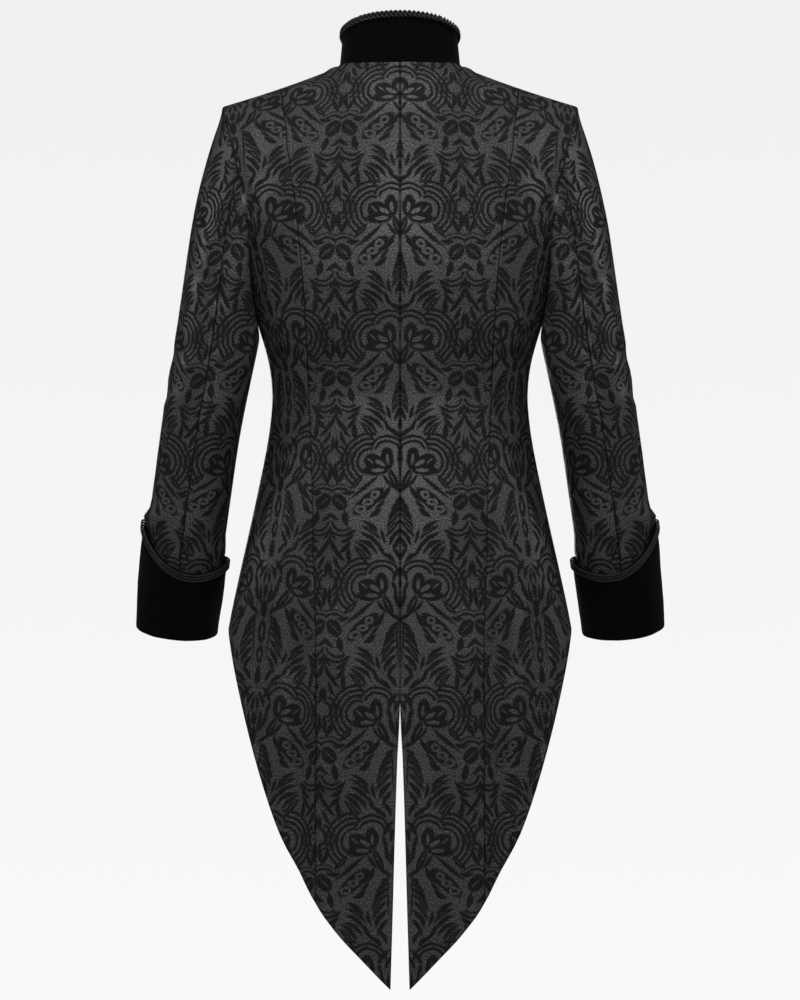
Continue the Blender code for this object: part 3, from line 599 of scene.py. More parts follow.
# %% [markdown]
# ## Thickness
#
# Solidify gives each sheet its thickness inwards, towards the wearer, so the
# outside stays where it was shaped. The inner face gets the second material,
# the plain lining side, and the rim keeps the jacquard that is turned under.

# %% Give each panel its thickness
for piece in panels.values():
    piece.data.materials.clear()
    piece.data.materials.append(bpy.data.materials.new("blank"))
    piece.data.materials.append(bpy.data.materials.new("blank"))
    modify(piece, "SOLIDIFY", thickness=LINING_DEPTH, offset=-1, material_offset=1)
    smooth(piece, 60)
print("faces on the ten panels:", sum(len(piece.data.polygons) for piece in panels.values()))

# %% [markdown]
# ## The velvet collar and cuffs
#
# Velvet hides its seams, so the collar and the cuffs are soft, thick bands. The
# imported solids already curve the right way. Their hard edges only need to be
# rounded over like folded velvet: a bevel along every sharp edge, then a
# subdivision, and then slow dents, because velvet over canvas is never quite
# true. Working on a copy of each mesh keeps the fit exact.

# %% Round and soften the velvet
VELVET_ROUNDING = 0.9 * MM


def velvet_band(node, name, dents):
    """A copy of a velvet node with rolled edges and slow dents this deep."""
    piece = copy_of(node, name)
    edit(piece)
    bpy.ops.mesh.tris_convert_to_quads(face_threshold=math.radians(50), shape_threshold=math.pi)
    bpy.ops.mesh.select_mode(type="EDGE")
    bpy.ops.mesh.select_all(action="DESELECT")
    bpy.ops.mesh.edges_select_sharp(sharpness=math.radians(42))
    bpy.ops.mesh.bevel(offset=VELVET_ROUNDING, segments=2, affect="EDGES")
    leave()
    modify(piece, "SUBSURF", levels=2, render_levels=2)
    points = points_of(piece)
    push = wander(points, 26.0, 7.0) + 0.5 * wander(points, 60.0, 9.0)
    put_points(piece, points + normals_of(piece) * (push * dents)[:, None])
    smooth(piece, 80)
    return piece


collar = velvet_band("collar", "collar_velvet", 0.5 * MM)
cuffs = {
    side: velvet_band(f"cuff_{side}", f"cuff_{side}_velvet", 0.9 * MM)
    for side in ("left", "right")
}
print("collar faces:", len(collar.data.polygons))

# %% [markdown]
# ## The line that a braid follows
#
# The braid on the collar is a gimp: strands of covered cord plaited so that
# their turns make a row of small scallops. Along the cuffs the same cord lies in
# straight ribs. A texture can't give such an edge, so the cords are real. The
# packed braid is a flat strip, and its rungs, the edges that run across it, say
# where the cords lie: the strip's two rails and which way is out.

# %% Walk along a strip from rung to rung
BRAID_WALL = 2.0 * MM  # a strip's rim edges are shorter than this


def rungs_in_order(mesh):
    """The strip's rungs as pairs of points, each with a face beside it, and if it is a ring."""
    faces_at = {}
    for face in mesh.polygons:
        for key in face.edge_keys:
            faces_at.setdefault(key, []).append(face)
    shared = {key for key, faces in faces_at.items() if len(faces) == 2}
    ends = [f for f in mesh.polygons if sum(key in shared for key in f.edge_keys) == 1]
    face = ends[0] if ends else mesh.polygons[0]
    key = next(key for key in face.edge_keys if key in shared)
    if ends:
        key = tuple(sorted(set(face.vertices) - set(key)))
    rungs = []
    while not rungs or key != rungs[0][0]:
        rungs.append((key, face))
        key = tuple(sorted(set(face.vertices) - set(key)))
        if len(faces_at[key]) == 1:
            rungs.append((key, face))
            break
        face = next(f for f in faces_at[key] if f.index != face.index)
    return rungs, not ends


def strip_line(node):
    """Rows of a strip's lower rail, upper rail and outward normal, and if it is a ring."""
    strip = larger_sheet(copy_of(node, "strip"), BRAID_WALL)
    mesh = strip.data
    rungs, ring = rungs_in_order(mesh)
    pairs = [[np.array(mesh.vertices[n].co) for n in key] for key, face in rungs]
    middle = len(pairs) // 2
    pairs[middle].sort(key=lambda end: end[2])
    for step in (1, -1):
        n = middle
        while 0 <= n + step < len(pairs):
            low = pairs[n][0]
            n += step
            pairs[n].sort(key=lambda end: np.linalg.norm(end - low))
    rows = np.array([[*low, *high, *face.normal] for (low, high), (key, face) in zip(pairs, rungs)])
    bpy.data.objects.remove(strip)
    return rows, ring


def even_line(rows, ring, step):
    """The strip's rows again at even steps along a smooth line, and how far along each is."""
    if ring:
        rows = np.vstack([rows[-3:], rows, rows[:3]])
    middle = (rows[:, :3] + rows[:, 3:6]) / 2
    far = np.concatenate([[0], np.cumsum(np.linalg.norm(np.diff(middle, axis=0), axis=1))])
    slope = np.gradient(rows, far, axis=0)
    first, last = (far[3], far[-3]) if ring else (far[0], far[-1])
    count = round((last - first) / step)
    places = np.linspace(first, last, count, endpoint=not ring)
    n = np.clip(np.searchsorted(far, places, side="right") - 1, 0, len(far) - 2)
    gap = far[n + 1] - far[n]
    t = ((places - far[n]) / gap)[:, None]
    gap = gap[:, None]
    line = (
        (1 + 2 * t) * (1 - t) ** 2 * rows[n]
        + t * (1 - t) ** 2 * gap * slope[n]
        + t * t * (3 - 2 * t) * rows[n + 1]
        + t * t * (t - 1) * gap * slope[n + 1]
    )
    return line, places - first


# %% [markdown]
# ## Plaiting the cords
#
# In a flat plait of three, each strand swings from edge to edge and crosses
# over and under the others twice as often. Two sine waves say just that. The
# ribs on the cuffs are pairs of strands twisted round each other, which gives
# the fine slant that shows on them. Each strand is a curve with a round bevel,
# turned into a mesh and joined to the rest.

# %% Lay the cords and join them
GIMP_STRAND = 2.5 * MM  # how thick one strand of the collar's plait is
GIMP_SWING = 3.0 * MM  # how far it swings to each side
GIMP_TURN = 17 * MM  # how long one full swing takes
GIMP_POINT = 0.14  # how pointed its turns are
GIMP_SUNK = 1.2 * MM  # how far its middle lies inside the strip's face
RIB_STRAND = 1.45 * MM
RIB_SWING = 0.72 * MM
RIB_TURN = 7.6 * MM
RIB_PLACES = (-3.4 * MM, 0.0, 3.4 * MM)  # the three ribs, from the middle of the braid


def strand(line, ring, aside, out, thickness):
    """One strand along a strip's line, this far aside of its middle and out from it."""
    low, high, normal = line[:, :3], line[:, 3:6], line[:, 6:]
    across = (high - low) / np.linalg.norm(high - low, axis=1)[:, None]
    normal = normal / np.linalg.norm(normal, axis=1)[:, None]
    places = (low + high) / 2 + across * aside[:, None] + normal * out[:, None]
    curve = bpy.data.curves.new("strand", "CURVE")
    curve.dimensions = "3D"
    curve.bevel_depth = thickness / 2
    curve.bevel_resolution = 1
    curve.use_fill_caps = True
    spline = curve.splines.new("POLY")
    spline.points.add(len(places) - 1)
    spline.points.foreach_set("co", np.column_stack([places, np.ones(len(places))]).ravel())
    spline.use_cyclic_u = ring
    thing = bpy.data.objects.new("strand", curve)
    bpy.context.scene.collection.objects.link(thing)
    return thing


def joined(strands, name):
    """The strands as one mesh."""
    only(*strands)
    bpy.ops.object.convert(target="MESH")
    bpy.ops.object.join()
    piece = bpy.context.view_layer.objects.active
    piece.name = name
    bpy.ops.object.shade_smooth()
    return piece


def plaited(node, name):
    """A flat plait of three strands along a strip."""
    rows, ring = strip_line(node)
    line, far = even_line(rows, ring, GIMP_TURN / 14)
    strands = []
    for n in range(3):
        angle = 2 * math.pi * (far / GIMP_TURN + n / 3)
        strands.append(
            strand(
                line,
                ring,
                GIMP_SWING * (np.sin(angle) - GIMP_POINT * np.sin(3 * angle)),
                0.45 * GIMP_STRAND * np.sin(2 * angle) - GIMP_SUNK,
                GIMP_STRAND,
            )
        )
    return joined(strands, name), far[-1]


def ribbed(node, name):
    """Three ribs along a strip, each a pair of strands twisted together."""
    rows, ring = strip_line(node)
    line, far = even_line(rows, ring, RIB_TURN / 8)
    turns = round(far[-1] / RIB_TURN)
    strands = []
    for n, middle in enumerate(RIB_PLACES):
        for half in (0, math.pi):
            angle = 2 * math.pi * turns * np.arange(len(far)) / len(far) + half + n
            strands.append(
                strand(
                    line,
                    ring,
                    middle + RIB_SWING * np.cos(angle),
                    RIB_SWING * np.sin(angle) - 0.3 * MM,
                    RIB_STRAND,
                )
            )
    return joined(strands, name), far[-1]


collar_braid, collar_braid_length = plaited("collar_braid", "collar_braid_plait")
cuff_braids = {}
for side in ("left", "right"):
    cuff_braids[side], cuff_braid_length = ribbed(f"cuff_braid_{side}", f"cuff_braid_{side}_ribs")
print(f"braid: {collar_braid_length:.3f} m on the collar, {cuff_braid_length:.3f} m on a cuff")

# %% [markdown]
# ## Covered buttons
#
# The front isn't in the photograph, and five covered buttons are the least it
# can have. A covered button is a shallow metal dome with cloth drawn tight over
# it and tucked in behind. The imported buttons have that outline. Creasing the
# edge of the flat back and subdividing the rest gives the round, tight dome.

# %% Round the buttons
buttons = {}
for n in range(1, 6):
    button = copy_of(f"button_{n}", f"button_{n}_cover")
    edit(button, "NONE")
    bpy.ops.mesh.select_mode(type="EDGE")
    bpy.ops.mesh.edges_select_sharp(sharpness=math.radians(60))
    bpy.ops.transform.edge_crease(value=0.7)
    leave()
    modify(button, "SUBSURF", levels=2, render_levels=2)
    smooth(button, 70)
    buttons[n] = button
print("faces on a button:", len(buttons[1].data.polygons))

# %% [markdown]
# ## Writing patterns as sums
#
# A damask is drawn in a shader with a few hundred Math nodes. Wiring them by
# hand would hide the pattern, so a small class stands for a number that changes
# over the surface: adding two of them makes the Add node and joins the wires.
# The formula can then be read like any other sum.

# %% A number that changes over the surface
class Field:
    """A shader number; its arithmetic makes Math nodes in its own tree."""

    def __init__(self, tree, socket):
        self.tree = tree
        self.socket = socket

    def math(self, operation, *others):
        """This number and the others through one Math node."""
        node = self.tree.nodes.new("ShaderNodeMath")
        node.operation = operation
        for place, value in enumerate((self, *others)):
            if isinstance(value, Field):
                self.tree.links.new(value.socket, node.inputs[place])
            else:
                node.inputs[place].default_value = value
        return Field(self.tree, node.outputs[0])

    def __add__(self, other):
        return self.math("ADD", other)

    def __sub__(self, other):
        return self.math("SUBTRACT", other)

    def __mul__(self, other):
        return self.math("MULTIPLY", other)

    def __abs__(self):
        return self.math("ABSOLUTE")

    def times_plus(self, factor, extra):
        """factor times this number, plus extra, in one node."""
        return self.math("MULTIPLY_ADD", factor, extra)

    def most(self, other):
        """The larger of two numbers."""
        return self.math("MAXIMUM", other)

    def least(self, other):
        """The smaller of two numbers."""
        return self.math("MINIMUM", other)


def vector_math(tree, operation, first, **inputs):
    """One Vector Math node on a vector; inputs by number, as a1 or a2. Gives the node."""
    node = tree.nodes.new("ShaderNodeVectorMath")
    node.operation = operation
    tree.links.new(first, node.inputs[0])
    for name, value in inputs.items():
        node.inputs[int(name[1:])].default_value = value
    return node


def new_group(name, inputs, outputs):
    """An empty shader group with these sockets, and its two end nodes."""
    tree = bpy.data.node_groups.new(name, "ShaderNodeTree")
    for label, kind, value in inputs:
        socket = tree.interface.new_socket(label, in_out="INPUT", socket_type=f"NodeSocket{kind}")
        if value is not None:
            socket.default_value = value
    for label, kind in outputs:
        tree.interface.new_socket(label, in_out="OUTPUT", socket_type=f"NodeSocket{kind}")
    return tree, tree.nodes.new("NodeGroupInput"), tree.nodes.new("NodeGroupOutput")


def ramp(tree, value, stops):
    """A color ramp as a number: stops are (place, brightness)."""
    node = tree.nodes.new("ShaderNodeValToRGB")
    tree.links.new(value.socket, node.inputs[0])
    marks = node.color_ramp.elements
    while len(marks) < len(stops):
        marks.new(0.5)
    for mark, (place, bright) in zip(marks, stops):
        mark.position = place
        mark.color = (bright, bright, bright, 1)
    return Field(tree, node.outputs[0])


# %% [markdown]
# ## The damask
#
# The cloth is an ordinary flower and leaf damask, woven tone on tone: satin
# shows in the ground and a matt weave in the figure. The figure repeats every
# 151 mm up the cloth and is the same on both sides of the centre back seam. It
# has flower heads in profile ringed by echo lines, fans of drooping leaves,
# pods of three seeds, slim paired leaves, a fan that droops from the centre line
# and a chain of buds along it.
#
# Each motif is charted here as a few leaves, ovals and arcs. For every point
# of the cloth, each shape gives its depth: how many millimetres inside its
# outline the point lies. The deepest shape wins, and the depth is then cut into
# bands, dark and light by turns, which draws the outlines and veins.

# %% The chart of the figure
REPEAT = 151.0  # millimetres up the cloth
HALF_REPEAT = 97.0  # from one line of symmetry to the next

# Each row: how far from the centre line and how far up its middle lies, its angle
# from level, its half length, its half width and how much it bends, in millimetres.
LEAVES = [
    # the fan of drooping leaves: six towards the centre line, four outwards
    (48, 43, 33, 12, 2.4, -0.012),
    (46, 36, 34, 14, 2.7, -0.014),
    (47, 28, 35, 15, 2.6, -0.014),
    (49, 20, 33, 15, 2.4, -0.018),
    (54, 15, 43, 14, 2.4, -0.014),
    (57, 8, 52, 13, 3.2, -0.012),
    (72, 33, -28, 8, 2.3, 0.018),
    (75, 25, -34, 9, 2.6, 0.018),
    (77, 15, -50, 10, 2.6, 0.016),
    (73, 5, 84, 11, 3.0, 0.010),
    # slim leaves side by side above the pod
    (57, 88, -42, 22, 1.9, 0.002),
    (53, 93, -40, 17, 1.5, 0.002),
    (67, 95, -47, 11, 3.2, 0.006),
    (76, 81, -6, 8, 2.8, 0.020),
    # leaves between the flower and the centre line
    (24, 101, 60, 13, 4.2, 0.010),
    (31, 97, 52, 10, 1.9, 0.010),
    (13, 106, 70, 15, 2.6, 0.012),
    (7, 104, 80, 14, 1.8, 0.010),
    # the tulip on the centre line
    (15, 138, -58, 11, 2.9, -0.024),
    (8, 132, -64, 10, 2.3, -0.024),
    (3, 126, -80, 10, 1.8, -0.010),
    (17, 122, 64, 7, 2.2, 0.020),
    # the fan of leaves that droop from the centre line
    (15, 76, -34, 7, 2.0, -0.020),
    (18, 69, -40, 10, 2.4, -0.018),
    (20, 61, -44, 12, 2.7, -0.016),
    (22, 52, -47, 14, 2.9, -0.015),
    (22, 42, -51, 14, 2.9, -0.015),
    (20, 32, -56, 13, 2.7, -0.016),
    (17, 22, -62, 11, 2.5, -0.018),
    # the spray above the fan
    (14, 86, 30, 9, 2.2, -0.018),
    (21, 91, 44, 10, 2.4, 0.012),
    (33, 80, -52, 13, 2.8, 0.014),
    (43, 58, -40, 9, 3.0, 0.010),
    (38, 68, -50, 8, 1.8, 0.010),
    # the stem and the small leaves under the fan
    (11, 60, 86, 26, 0.9, 0.001),
    (14, 10, 56, 9, 2.4, -0.014),
    (24, 6, 34, 11, 2.6, -0.014),
    (34, 14, 62, 10, 2.2, 0.012),
    (33, 30, 74, 9, 2.0, 0.012),
    # the sprays that fill the edge of the repeat
    (79, 50, 76, 10, 3.8, 0.010),
    (92, 16, 60, 15, 2.4, 0.012),
    (86, 8, 56, 13, 2.4, 0.012),
    (96, 34, 62, 12, 2.2, 0.012),
    (94, 52, 40, 9, 2.2, 0.018),
    (87, 100, -66, 10, 2.6, 0.012),
    (94, 106, 84, 12, 2.8, 0.010),
    (95, 140, 84, 10, 2.4, 0.010),
    (88, 148, 64, 9, 2.2, 0.016),
]
# Each row: its middle across and up, its angle, its half length and half width.
OVALS = [
    # the flower's heart: an upright petal and two that lie across it
    (32, 125, 84, 13, 7.6),
    (47, 119, 24, 13, 10.0),
    (46, 110, -6, 15, 6.4),
    # the pod's husk
    (52, 72, -43, 23, 8.4),
    # a curled bud at the edge of the repeat
    (87, 70, 50, 11, 8.0),
    # a chain of buds on the line of symmetry, cut away at the centre back seam
    (0, 8, 90, 10, 3.6),
    (0, 33, 90, 11, 4.2),
    (0, 60, 90, 13, 5.0),
    (0, 87, 90, 10, 4.2),
    (0, 108, 90, 8, 3.4),
]
# Each row: the arcs' centre across and up, the first and last radius, how far apart
# they are, the direction that they open to and how wide they open, from 0 to 1.
ARCS = [
    (32, 130, 13.0, 24.5, 6.0, 96, 0.28),
    (52, 120, 12.5, 38.0, 6.2, 18, 0.18),
    (82, 48, 10.0, 22.0, 5.6, -72, 0.45),
    (87, 72, 12.0, 20.0, 5.6, 70, 0.45),
    (97, 124, 7.0, 22.0, 6.0, 180, 0.45),
]
# Each row: the middle across and up, the angle, the half length and the half width
# of a light shape that is laid over the dark ones. The wide ones are left with a
# dark core, which makes a seed or a ringed petal of them.
INLAYS = [
    (31.5, 124, 84, 7.0, 2.3),
    (40, 119, 30, 7.5, 2.9),
    (43, 110, -4, 8.5, 2.7),
    (52, 121, 40, 6.0, 1.5),
    (45, 80, -40, 6.6, 5.2),
    (52.5, 71, -10, 7.6, 4.8),
    (61, 62, 0, 7.6, 5.4),
    (22, 52, -47, 9.0, 0.7),
    (22, 42, -51, 9.0, 0.7),
    (0, 60, 90, 8.0, 2.0),
    (0, 33, 90, 6.0, 1.6),
    (85, 69, 50, 7.5, 0.9),
    (90, 72, 50, 6.0, 0.8),
    (24.5, 101, 60, 9.0, 0.9),
    (67, 95, -47, 7.0, 0.7),
    (46, 36, 34, 9.0, 0.6),
    (57, 8, 52, 8.0, 0.8),
]
# How much of the figure or the inlay shows at each depth inside its outline.
FIGURE_BANDS = [(-1.2, 0.0), (0.4, 1.0)]
INLAY_BANDS = [(-0.1, 0.0), (0.7, 1.0), (2.8, 1.0), (3.6, 0.0), (4.8, 0.0), (5.6, 0.8)]
ARC_LINE = 0.28  # the smaller, the thicker the dark echo lines
DEEPEST = 14.0  # the ramps run from this far outside the outline to this far inside


def from_middle(tree, cloth, across, up):
    """A vector from a motif's middle, the same again one repeat further up."""
    moved = vector_math(tree, "SUBTRACT", cloth, a1=(across, up, 0))
    half = REPEAT / 2
    wrapped = vector_math(
        tree, "WRAP", moved.outputs[0], a1=(9e3, half, 1), a2=(-9e3, -half, -1)
    )
    return wrapped.outputs[0]


def along(tree, vector, angle, size=1.0):
    """How far a vector reaches in a direction, in steps of this size."""
    way = (math.cos(angle) / size, math.sin(angle) / size, 0)
    return Field(tree, vector_math(tree, "DOT_PRODUCT", vector, a1=way).outputs["Value"])


def leaf_depth(tree, cloth, across, up, angle, half_length, half_width, bend):
    """Depth inside a bent leaf with two points."""
    at = from_middle(tree, cloth, across, up)
    angle = math.radians(angle)
    lengthwise = along(tree, at, angle)
    crosswise = along(tree, at, angle + math.pi / 2)
    squared = lengthwise * lengthwise
    crosswise = squared.times_plus(-bend, crosswise)
    reach = squared.times_plus(-half_width / half_length**2, half_width)
    return reach - abs(crosswise)


def oval_depth(tree, cloth, across, up, angle, half_length, half_width):
    """Depth inside an oval."""
    at = from_middle(tree, cloth, across, up)
    angle = math.radians(angle)
    lengthwise = along(tree, at, angle, half_length)
    crosswise = along(tree, at, angle + math.pi / 2, half_width)
    square = lengthwise * lengthwise + crosswise * crosswise
    return square.math("SQRT").times_plus(-half_width, half_width)


def arcs_depth(tree, cloth, across, up, first, last, apart, angle, opening):
    """Depth inside a set of echo lines that open to one side."""
    at = from_middle(tree, cloth, across, up)
    radius = Field(tree, vector_math(tree, "LENGTH", at).outputs["Value"])
    ripple = (radius - first).math("PINGPONG", apart / 2) - apart * ARC_LINE
    inside = (radius - first).least(radius.times_plus(-1.0, last))
    ahead = along(tree, at, math.radians(angle))
    sector = radius.times_plus(-opening, ahead) * 0.8
    return ripple.least(inside).least(sector)


def deepest(fields):
    """The largest of many numbers."""
    top = fields[0]
    for field in fields[1:]:
        top = top.most(field)
    return top


def bands(tree, depth, stops):
    """Cut a depth into bands with a ramp."""
    scaled = depth.times_plus(0.5 / DEEPEST, 0.5)
    return ramp(tree, scaled, [(0.5 + 0.5 * mm / DEEPEST, dark) for mm, dark in stops])


def damask_group():
    """The damask: from a place on the cloth in metres to how much figure is there."""
    tree, start, end = new_group(
        "damask",
        [("Cloth", "Vector", None)],
        [("Figure", "Float")],
    )
    cloth = vector_math(tree, "MULTIPLY", start.outputs["Cloth"], a1=(1000, 1000, 0)).outputs[0]
    # a little waviness, because no woven line is drawn with a ruler
    waver = tree.nodes.new("ShaderNodeTexNoise")
    waver.inputs["Scale"].default_value = 0.11
    waver.inputs["Detail"].default_value = 1.0
    tree.links.new(cloth, waver.inputs["Vector"])
    centred = vector_math(tree, "SUBTRACT", waver.outputs["Color"], a1=(0.5, 0.5, 0.5))
    small = vector_math(tree, "SCALE", centred.outputs[0])
    small.inputs["Scale"].default_value = 3.2
    parts = tree.nodes.new("ShaderNodeSeparateXYZ")
    tree.links.new(cloth, parts.inputs[0])
    folded = abs(Field(tree, parts.outputs[0])).math("PINGPONG", HALF_REPEAT)
    place = tree.nodes.new("ShaderNodeCombineXYZ")
    tree.links.new(folded.socket, place.inputs[0])
    tree.links.new(parts.outputs[1], place.inputs[1])
    wavy = vector_math(tree, "ADD", place.outputs[0])
    tree.links.new(small.outputs[0], wavy.inputs[1])
    at = wavy.outputs[0]
    shapes = [leaf_depth(tree, at, *row) for row in LEAVES]
    shapes += [oval_depth(tree, at, *row) for row in OVALS]
    shapes += [arcs_depth(tree, at, *row) for row in ARCS]
    figure = bands(tree, deepest(shapes), FIGURE_BANDS)
    light = bands(tree, deepest([oval_depth(tree, at, *row) for row in INLAYS]), INLAY_BANDS)
    shown = figure * light.times_plus(-1.0, 1.0)
    tree.links.new(shown.socket, end.inputs["Figure"])
    return tree


damask = damask_group()
print("nodes in the damask:", len(damask.nodes))

# %% [markdown]
# ## Grain
#
# Up close no cloth is even: threads catch the light one by one, and the dye and
# the wear vary slowly over a coat. Every fabric here needs both, so they are one
# group with the size of the grain as an input. It puts out a fine speckle, a slow
# mottling and a thread height, and each material decides how much of each to use.

# %% The grain group
def noise_field(tree, vector, scale, detail):
    """A noise texture as a number."""
    node = tree.nodes.new("ShaderNodeTexNoise")
    node.inputs["Scale"].default_value = scale
    node.inputs["Detail"].default_value = detail
    tree.links.new(vector, node.inputs["Vector"])
    return Field(tree, node.outputs["Fac"])


def grain_group():
    """Fine speckle, slow mottling and thread height; Threads is how many go to a metre."""
    tree, start, end = new_group(
        "grain",
        [("Place", "Vector", None), ("Threads", "Float", 900.0)],
        [("Speckle", "Float"), ("Mottling", "Float"), ("Height", "Float")],
    )
    place = start.outputs["Place"]
    scaled = vector_math(tree, "SCALE", place)
    tree.links.new(start.outputs["Threads"], scaled.inputs["Scale"])
    fine = noise_field(tree, scaled.outputs[0], 1.0, 2.0)
    slow = noise_field(tree, place, 11.0, 2.0)
    threads = vector_math(tree, "MULTIPLY", scaled.outputs[0], a1=(0.6, 2.4, 1.2))
    height = noise_field(tree, threads.outputs[0], 1.0, 1.0)
    for name, field in (("Speckle", fine), ("Mottling", slow), ("Height", height)):
        tree.links.new(field.socket, end.inputs[name])
    return tree


grain = grain_group()
print("nodes in the grain:", len(grain.nodes))

# %% [markdown]
# ## The materials
#
# All the cloth is black, so the materials differ in how they take the light.
# Satin has a broad, soft gloss. The matt figure has next to none and looks
# darker. Velvet swallows light, apart from a faint bloom where its pile is seen
# from the side, which is what sheen is for. Braid is a tight shiny cord.

# %% Helpers for materials
def new_material(name, **constants):
    """A material with a Principled shader whose sockets have these constant values."""
    material = bpy.data.materials.new(name)
    material.use_nodes = True
    shader = material.node_tree.nodes["Principled BSDF"]
    for socket, value in constants.items():
        shader.inputs[socket.replace("_", " ")].default_value = value
    return material, material.node_tree, shader


def use_group(tree, group, **values):
    """Place a group in a material; values are sockets to join or numbers to set."""
    node = tree.nodes.new("ShaderNodeGroup")
    node.node_tree = group
    for name, value in values.items():
        if isinstance(value, bpy.types.NodeSocket):
            tree.links.new(value, node.inputs[name])
        else:
            node.inputs[name].default_value = value
    return node


def coordinates(tree, from_map):
    """The piece's own map, or its Object coordinates."""
    if from_map:
        node = tree.nodes.new("ShaderNodeUVMap")
        return node.outputs["UV"]
    return tree.nodes.new("ShaderNodeTexCoord").outputs["Object"]


def tint(tree, bright, colour):
    """A colour as bright as a number says."""
    node = tree.nodes.new("ShaderNodeVectorMath")
    node.operation = "SCALE"
    node.inputs[0].default_value = colour
    tree.links.new(bright.socket, node.inputs["Scale"])
    return node.outputs[0]


def bumped(tree, shader, height, strength, distance):
    """Lay a height on the shader's normal."""
    bump = tree.nodes.new("ShaderNodeBump")
    bump.inputs["Strength"].default_value = strength
    bump.inputs["Distance"].default_value = distance
    tree.links.new(height.socket, bump.inputs["Height"])
    tree.links.new(bump.outputs["Normal"], shader.inputs["Normal"])


# %% Jacquard
GROUND = 0.040  # how bright the satin ground is
FIGURE = 0.0085  # how bright the matt figure is
SATIN = 0.22  # how much of a coat the satin ground has
SEAM_SHADE = 0.95  # how much painted shade darkens a seam, and 0.9 of it a free edge, in place of the shade in its groove
GROUND_GLOSS = 0.50  # roughness of the ground
FIGURE_GLOSS = 0.75
THREADS = 560.0  # to the metre, coarser than real ones so that they show from the camera
SPARKLE = (6.0, -2.0)  # what the speckle is multiplied by, and what is added
DARKEST = 0.12  # how bright the darkest specks stay
PATCHY = (1.1, 0.45)  # the same two numbers for the slow mottling


def jacquard_material():
    """Satin ground and matt figure, woven tone on tone."""
    material, tree, shader = new_material(
        "jacquard", Specular_IOR_Level=0.08, Coat_Roughness=0.42, Coat_IOR=1.5
    )
    cloth = coordinates(tree, from_map=True)
    pattern = use_group(tree, damask, Cloth=cloth)
    threads = use_group(tree, grain, Place=cloth, Threads=THREADS)
    # painted shade: the seam mark darkens the colour and the satin gloss along seams and, a little
    # less, along free edges
    painted_seam_shade = tree.nodes.new("ShaderNodeAttribute")
    painted_seam_shade.attribute_name = "painted_seam_shade"
    shade = Field(tree, painted_seam_shade.outputs["Fac"]).times_plus(-SEAM_SHADE, 1.0)
    figure = Field(tree, pattern.outputs["Figure"])
    speckle = Field(tree, threads.outputs["Speckle"])
    mottling = Field(tree, threads.outputs["Mottling"])
    bright = figure.times_plus(FIGURE - GROUND, GROUND)
    bright = bright * speckle.times_plus(*SPARKLE).most(DARKEST) * mottling.times_plus(*PATCHY)
    bright = bright * shade
    tree.links.new(tint(tree, bright, (1.0, 1.0, 1.04)), shader.inputs["Base Color"])
    gloss = figure.times_plus(FIGURE_GLOSS - GROUND_GLOSS, GROUND_GLOSS)
    tree.links.new(gloss.socket, shader.inputs["Roughness"])
    satin = figure.times_plus(-SATIN, SATIN) * speckle.times_plus(3.0, -0.5) * shade
    tree.links.new(satin.socket, shader.inputs["Coat Weight"])
    height = figure.times_plus(-0.55, 0.6) + Field(tree, threads.outputs["Height"]) * 0.5
    bumped(tree, shader, height, 0.55, 0.35 * MM)
    return material


# %% Lining, velvet, braid
def plain_cloth(name, bright, colour, threads, uneven, bump, from_map=False, **constants):
    """A cloth of one colour with grain; uneven is how much its brightness varies."""
    material, tree, shader = new_material(name, **constants)
    place = coordinates(tree, from_map)
    grained = use_group(tree, grain, Place=place, Threads=threads)
    speckle = Field(tree, grained.outputs["Speckle"])
    mottling = Field(tree, grained.outputs["Mottling"])
    change = speckle.times_plus(uneven, 1 - uneven / 2) * mottling.times_plus(0.6, 0.7)
    tree.links.new(tint(tree, change * bright, colour), shader.inputs["Base Color"])
    rough = shader.inputs["Roughness"].default_value
    tree.links.new(speckle.times_plus(0.2, rough - 0.1).socket, shader.inputs["Roughness"])
    bumped(tree, shader, Field(tree, grained.outputs["Height"]), bump, 0.4 * MM)
    return material


jacquard = jacquard_material()
lining = plain_cloth(
    "lining", 0.012, (1.0, 1.0, 1.0), 1400.0, 0.5, 0.2, from_map=True, Roughness=0.45
)
velvet = plain_cloth(
    "velvet",
    0.0012,
    (1.0, 1.0, 1.05),
    1100.0,
    1.2,
    0.6,
    Roughness=0.9,
    Specular_IOR_Level=0.05,
    Sheen_Weight=0.04,
    Sheen_Roughness=0.35,
    Sheen_Tint=(0.5, 0.5, 0.52, 1),
)
braid = plain_cloth(
    "braid", 0.0075, (1.0, 1.0, 1.0), 2200.0, 1.2, 0.7, Roughness=0.5, Specular_IOR_Level=0.35
)
print("materials:", jacquard.name, lining.name, velvet.name, braid.name)

# %% Put the materials on the pieces
for piece in panels.values():
    piece.data.materials[0] = jacquard
    piece.data.materials[1] = lining
for piece, material in (
    *((thing, velvet) for thing in (collar, *cuffs.values(), *buttons.values())),
    *((thing, braid) for thing in (collar_braid, *cuff_braids.values())),
):
    piece.data.materials.clear()
    piece.data.materials.append(material)
print("pieces of jacquard:", len(panels))

# %% [markdown]
# ## What rides on what
#
# Nothing on a coat turns on a hinge, so every piece rides on the one body. Each
# piece stands for the imported node that it replaces, and that node is hidden.

# %% Rides
for node, piece in panels.items():
    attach(piece, "root")
    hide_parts(node)


def add_trim(piece, node):
    """Ride one piece of trim on the body and hide the node that it replaces."""
    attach(piece, "root")
    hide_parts(node)


add_trim(collar, "collar")
add_trim(collar_braid, "collar_braid")
for side in ("left", "right"):
    add_trim(cuffs[side], f"cuff_{side}")
    add_trim(cuff_braids[side], f"cuff_braid_{side}")
for n, button in buttons.items():
    add_trim(button, f"button_{n}")

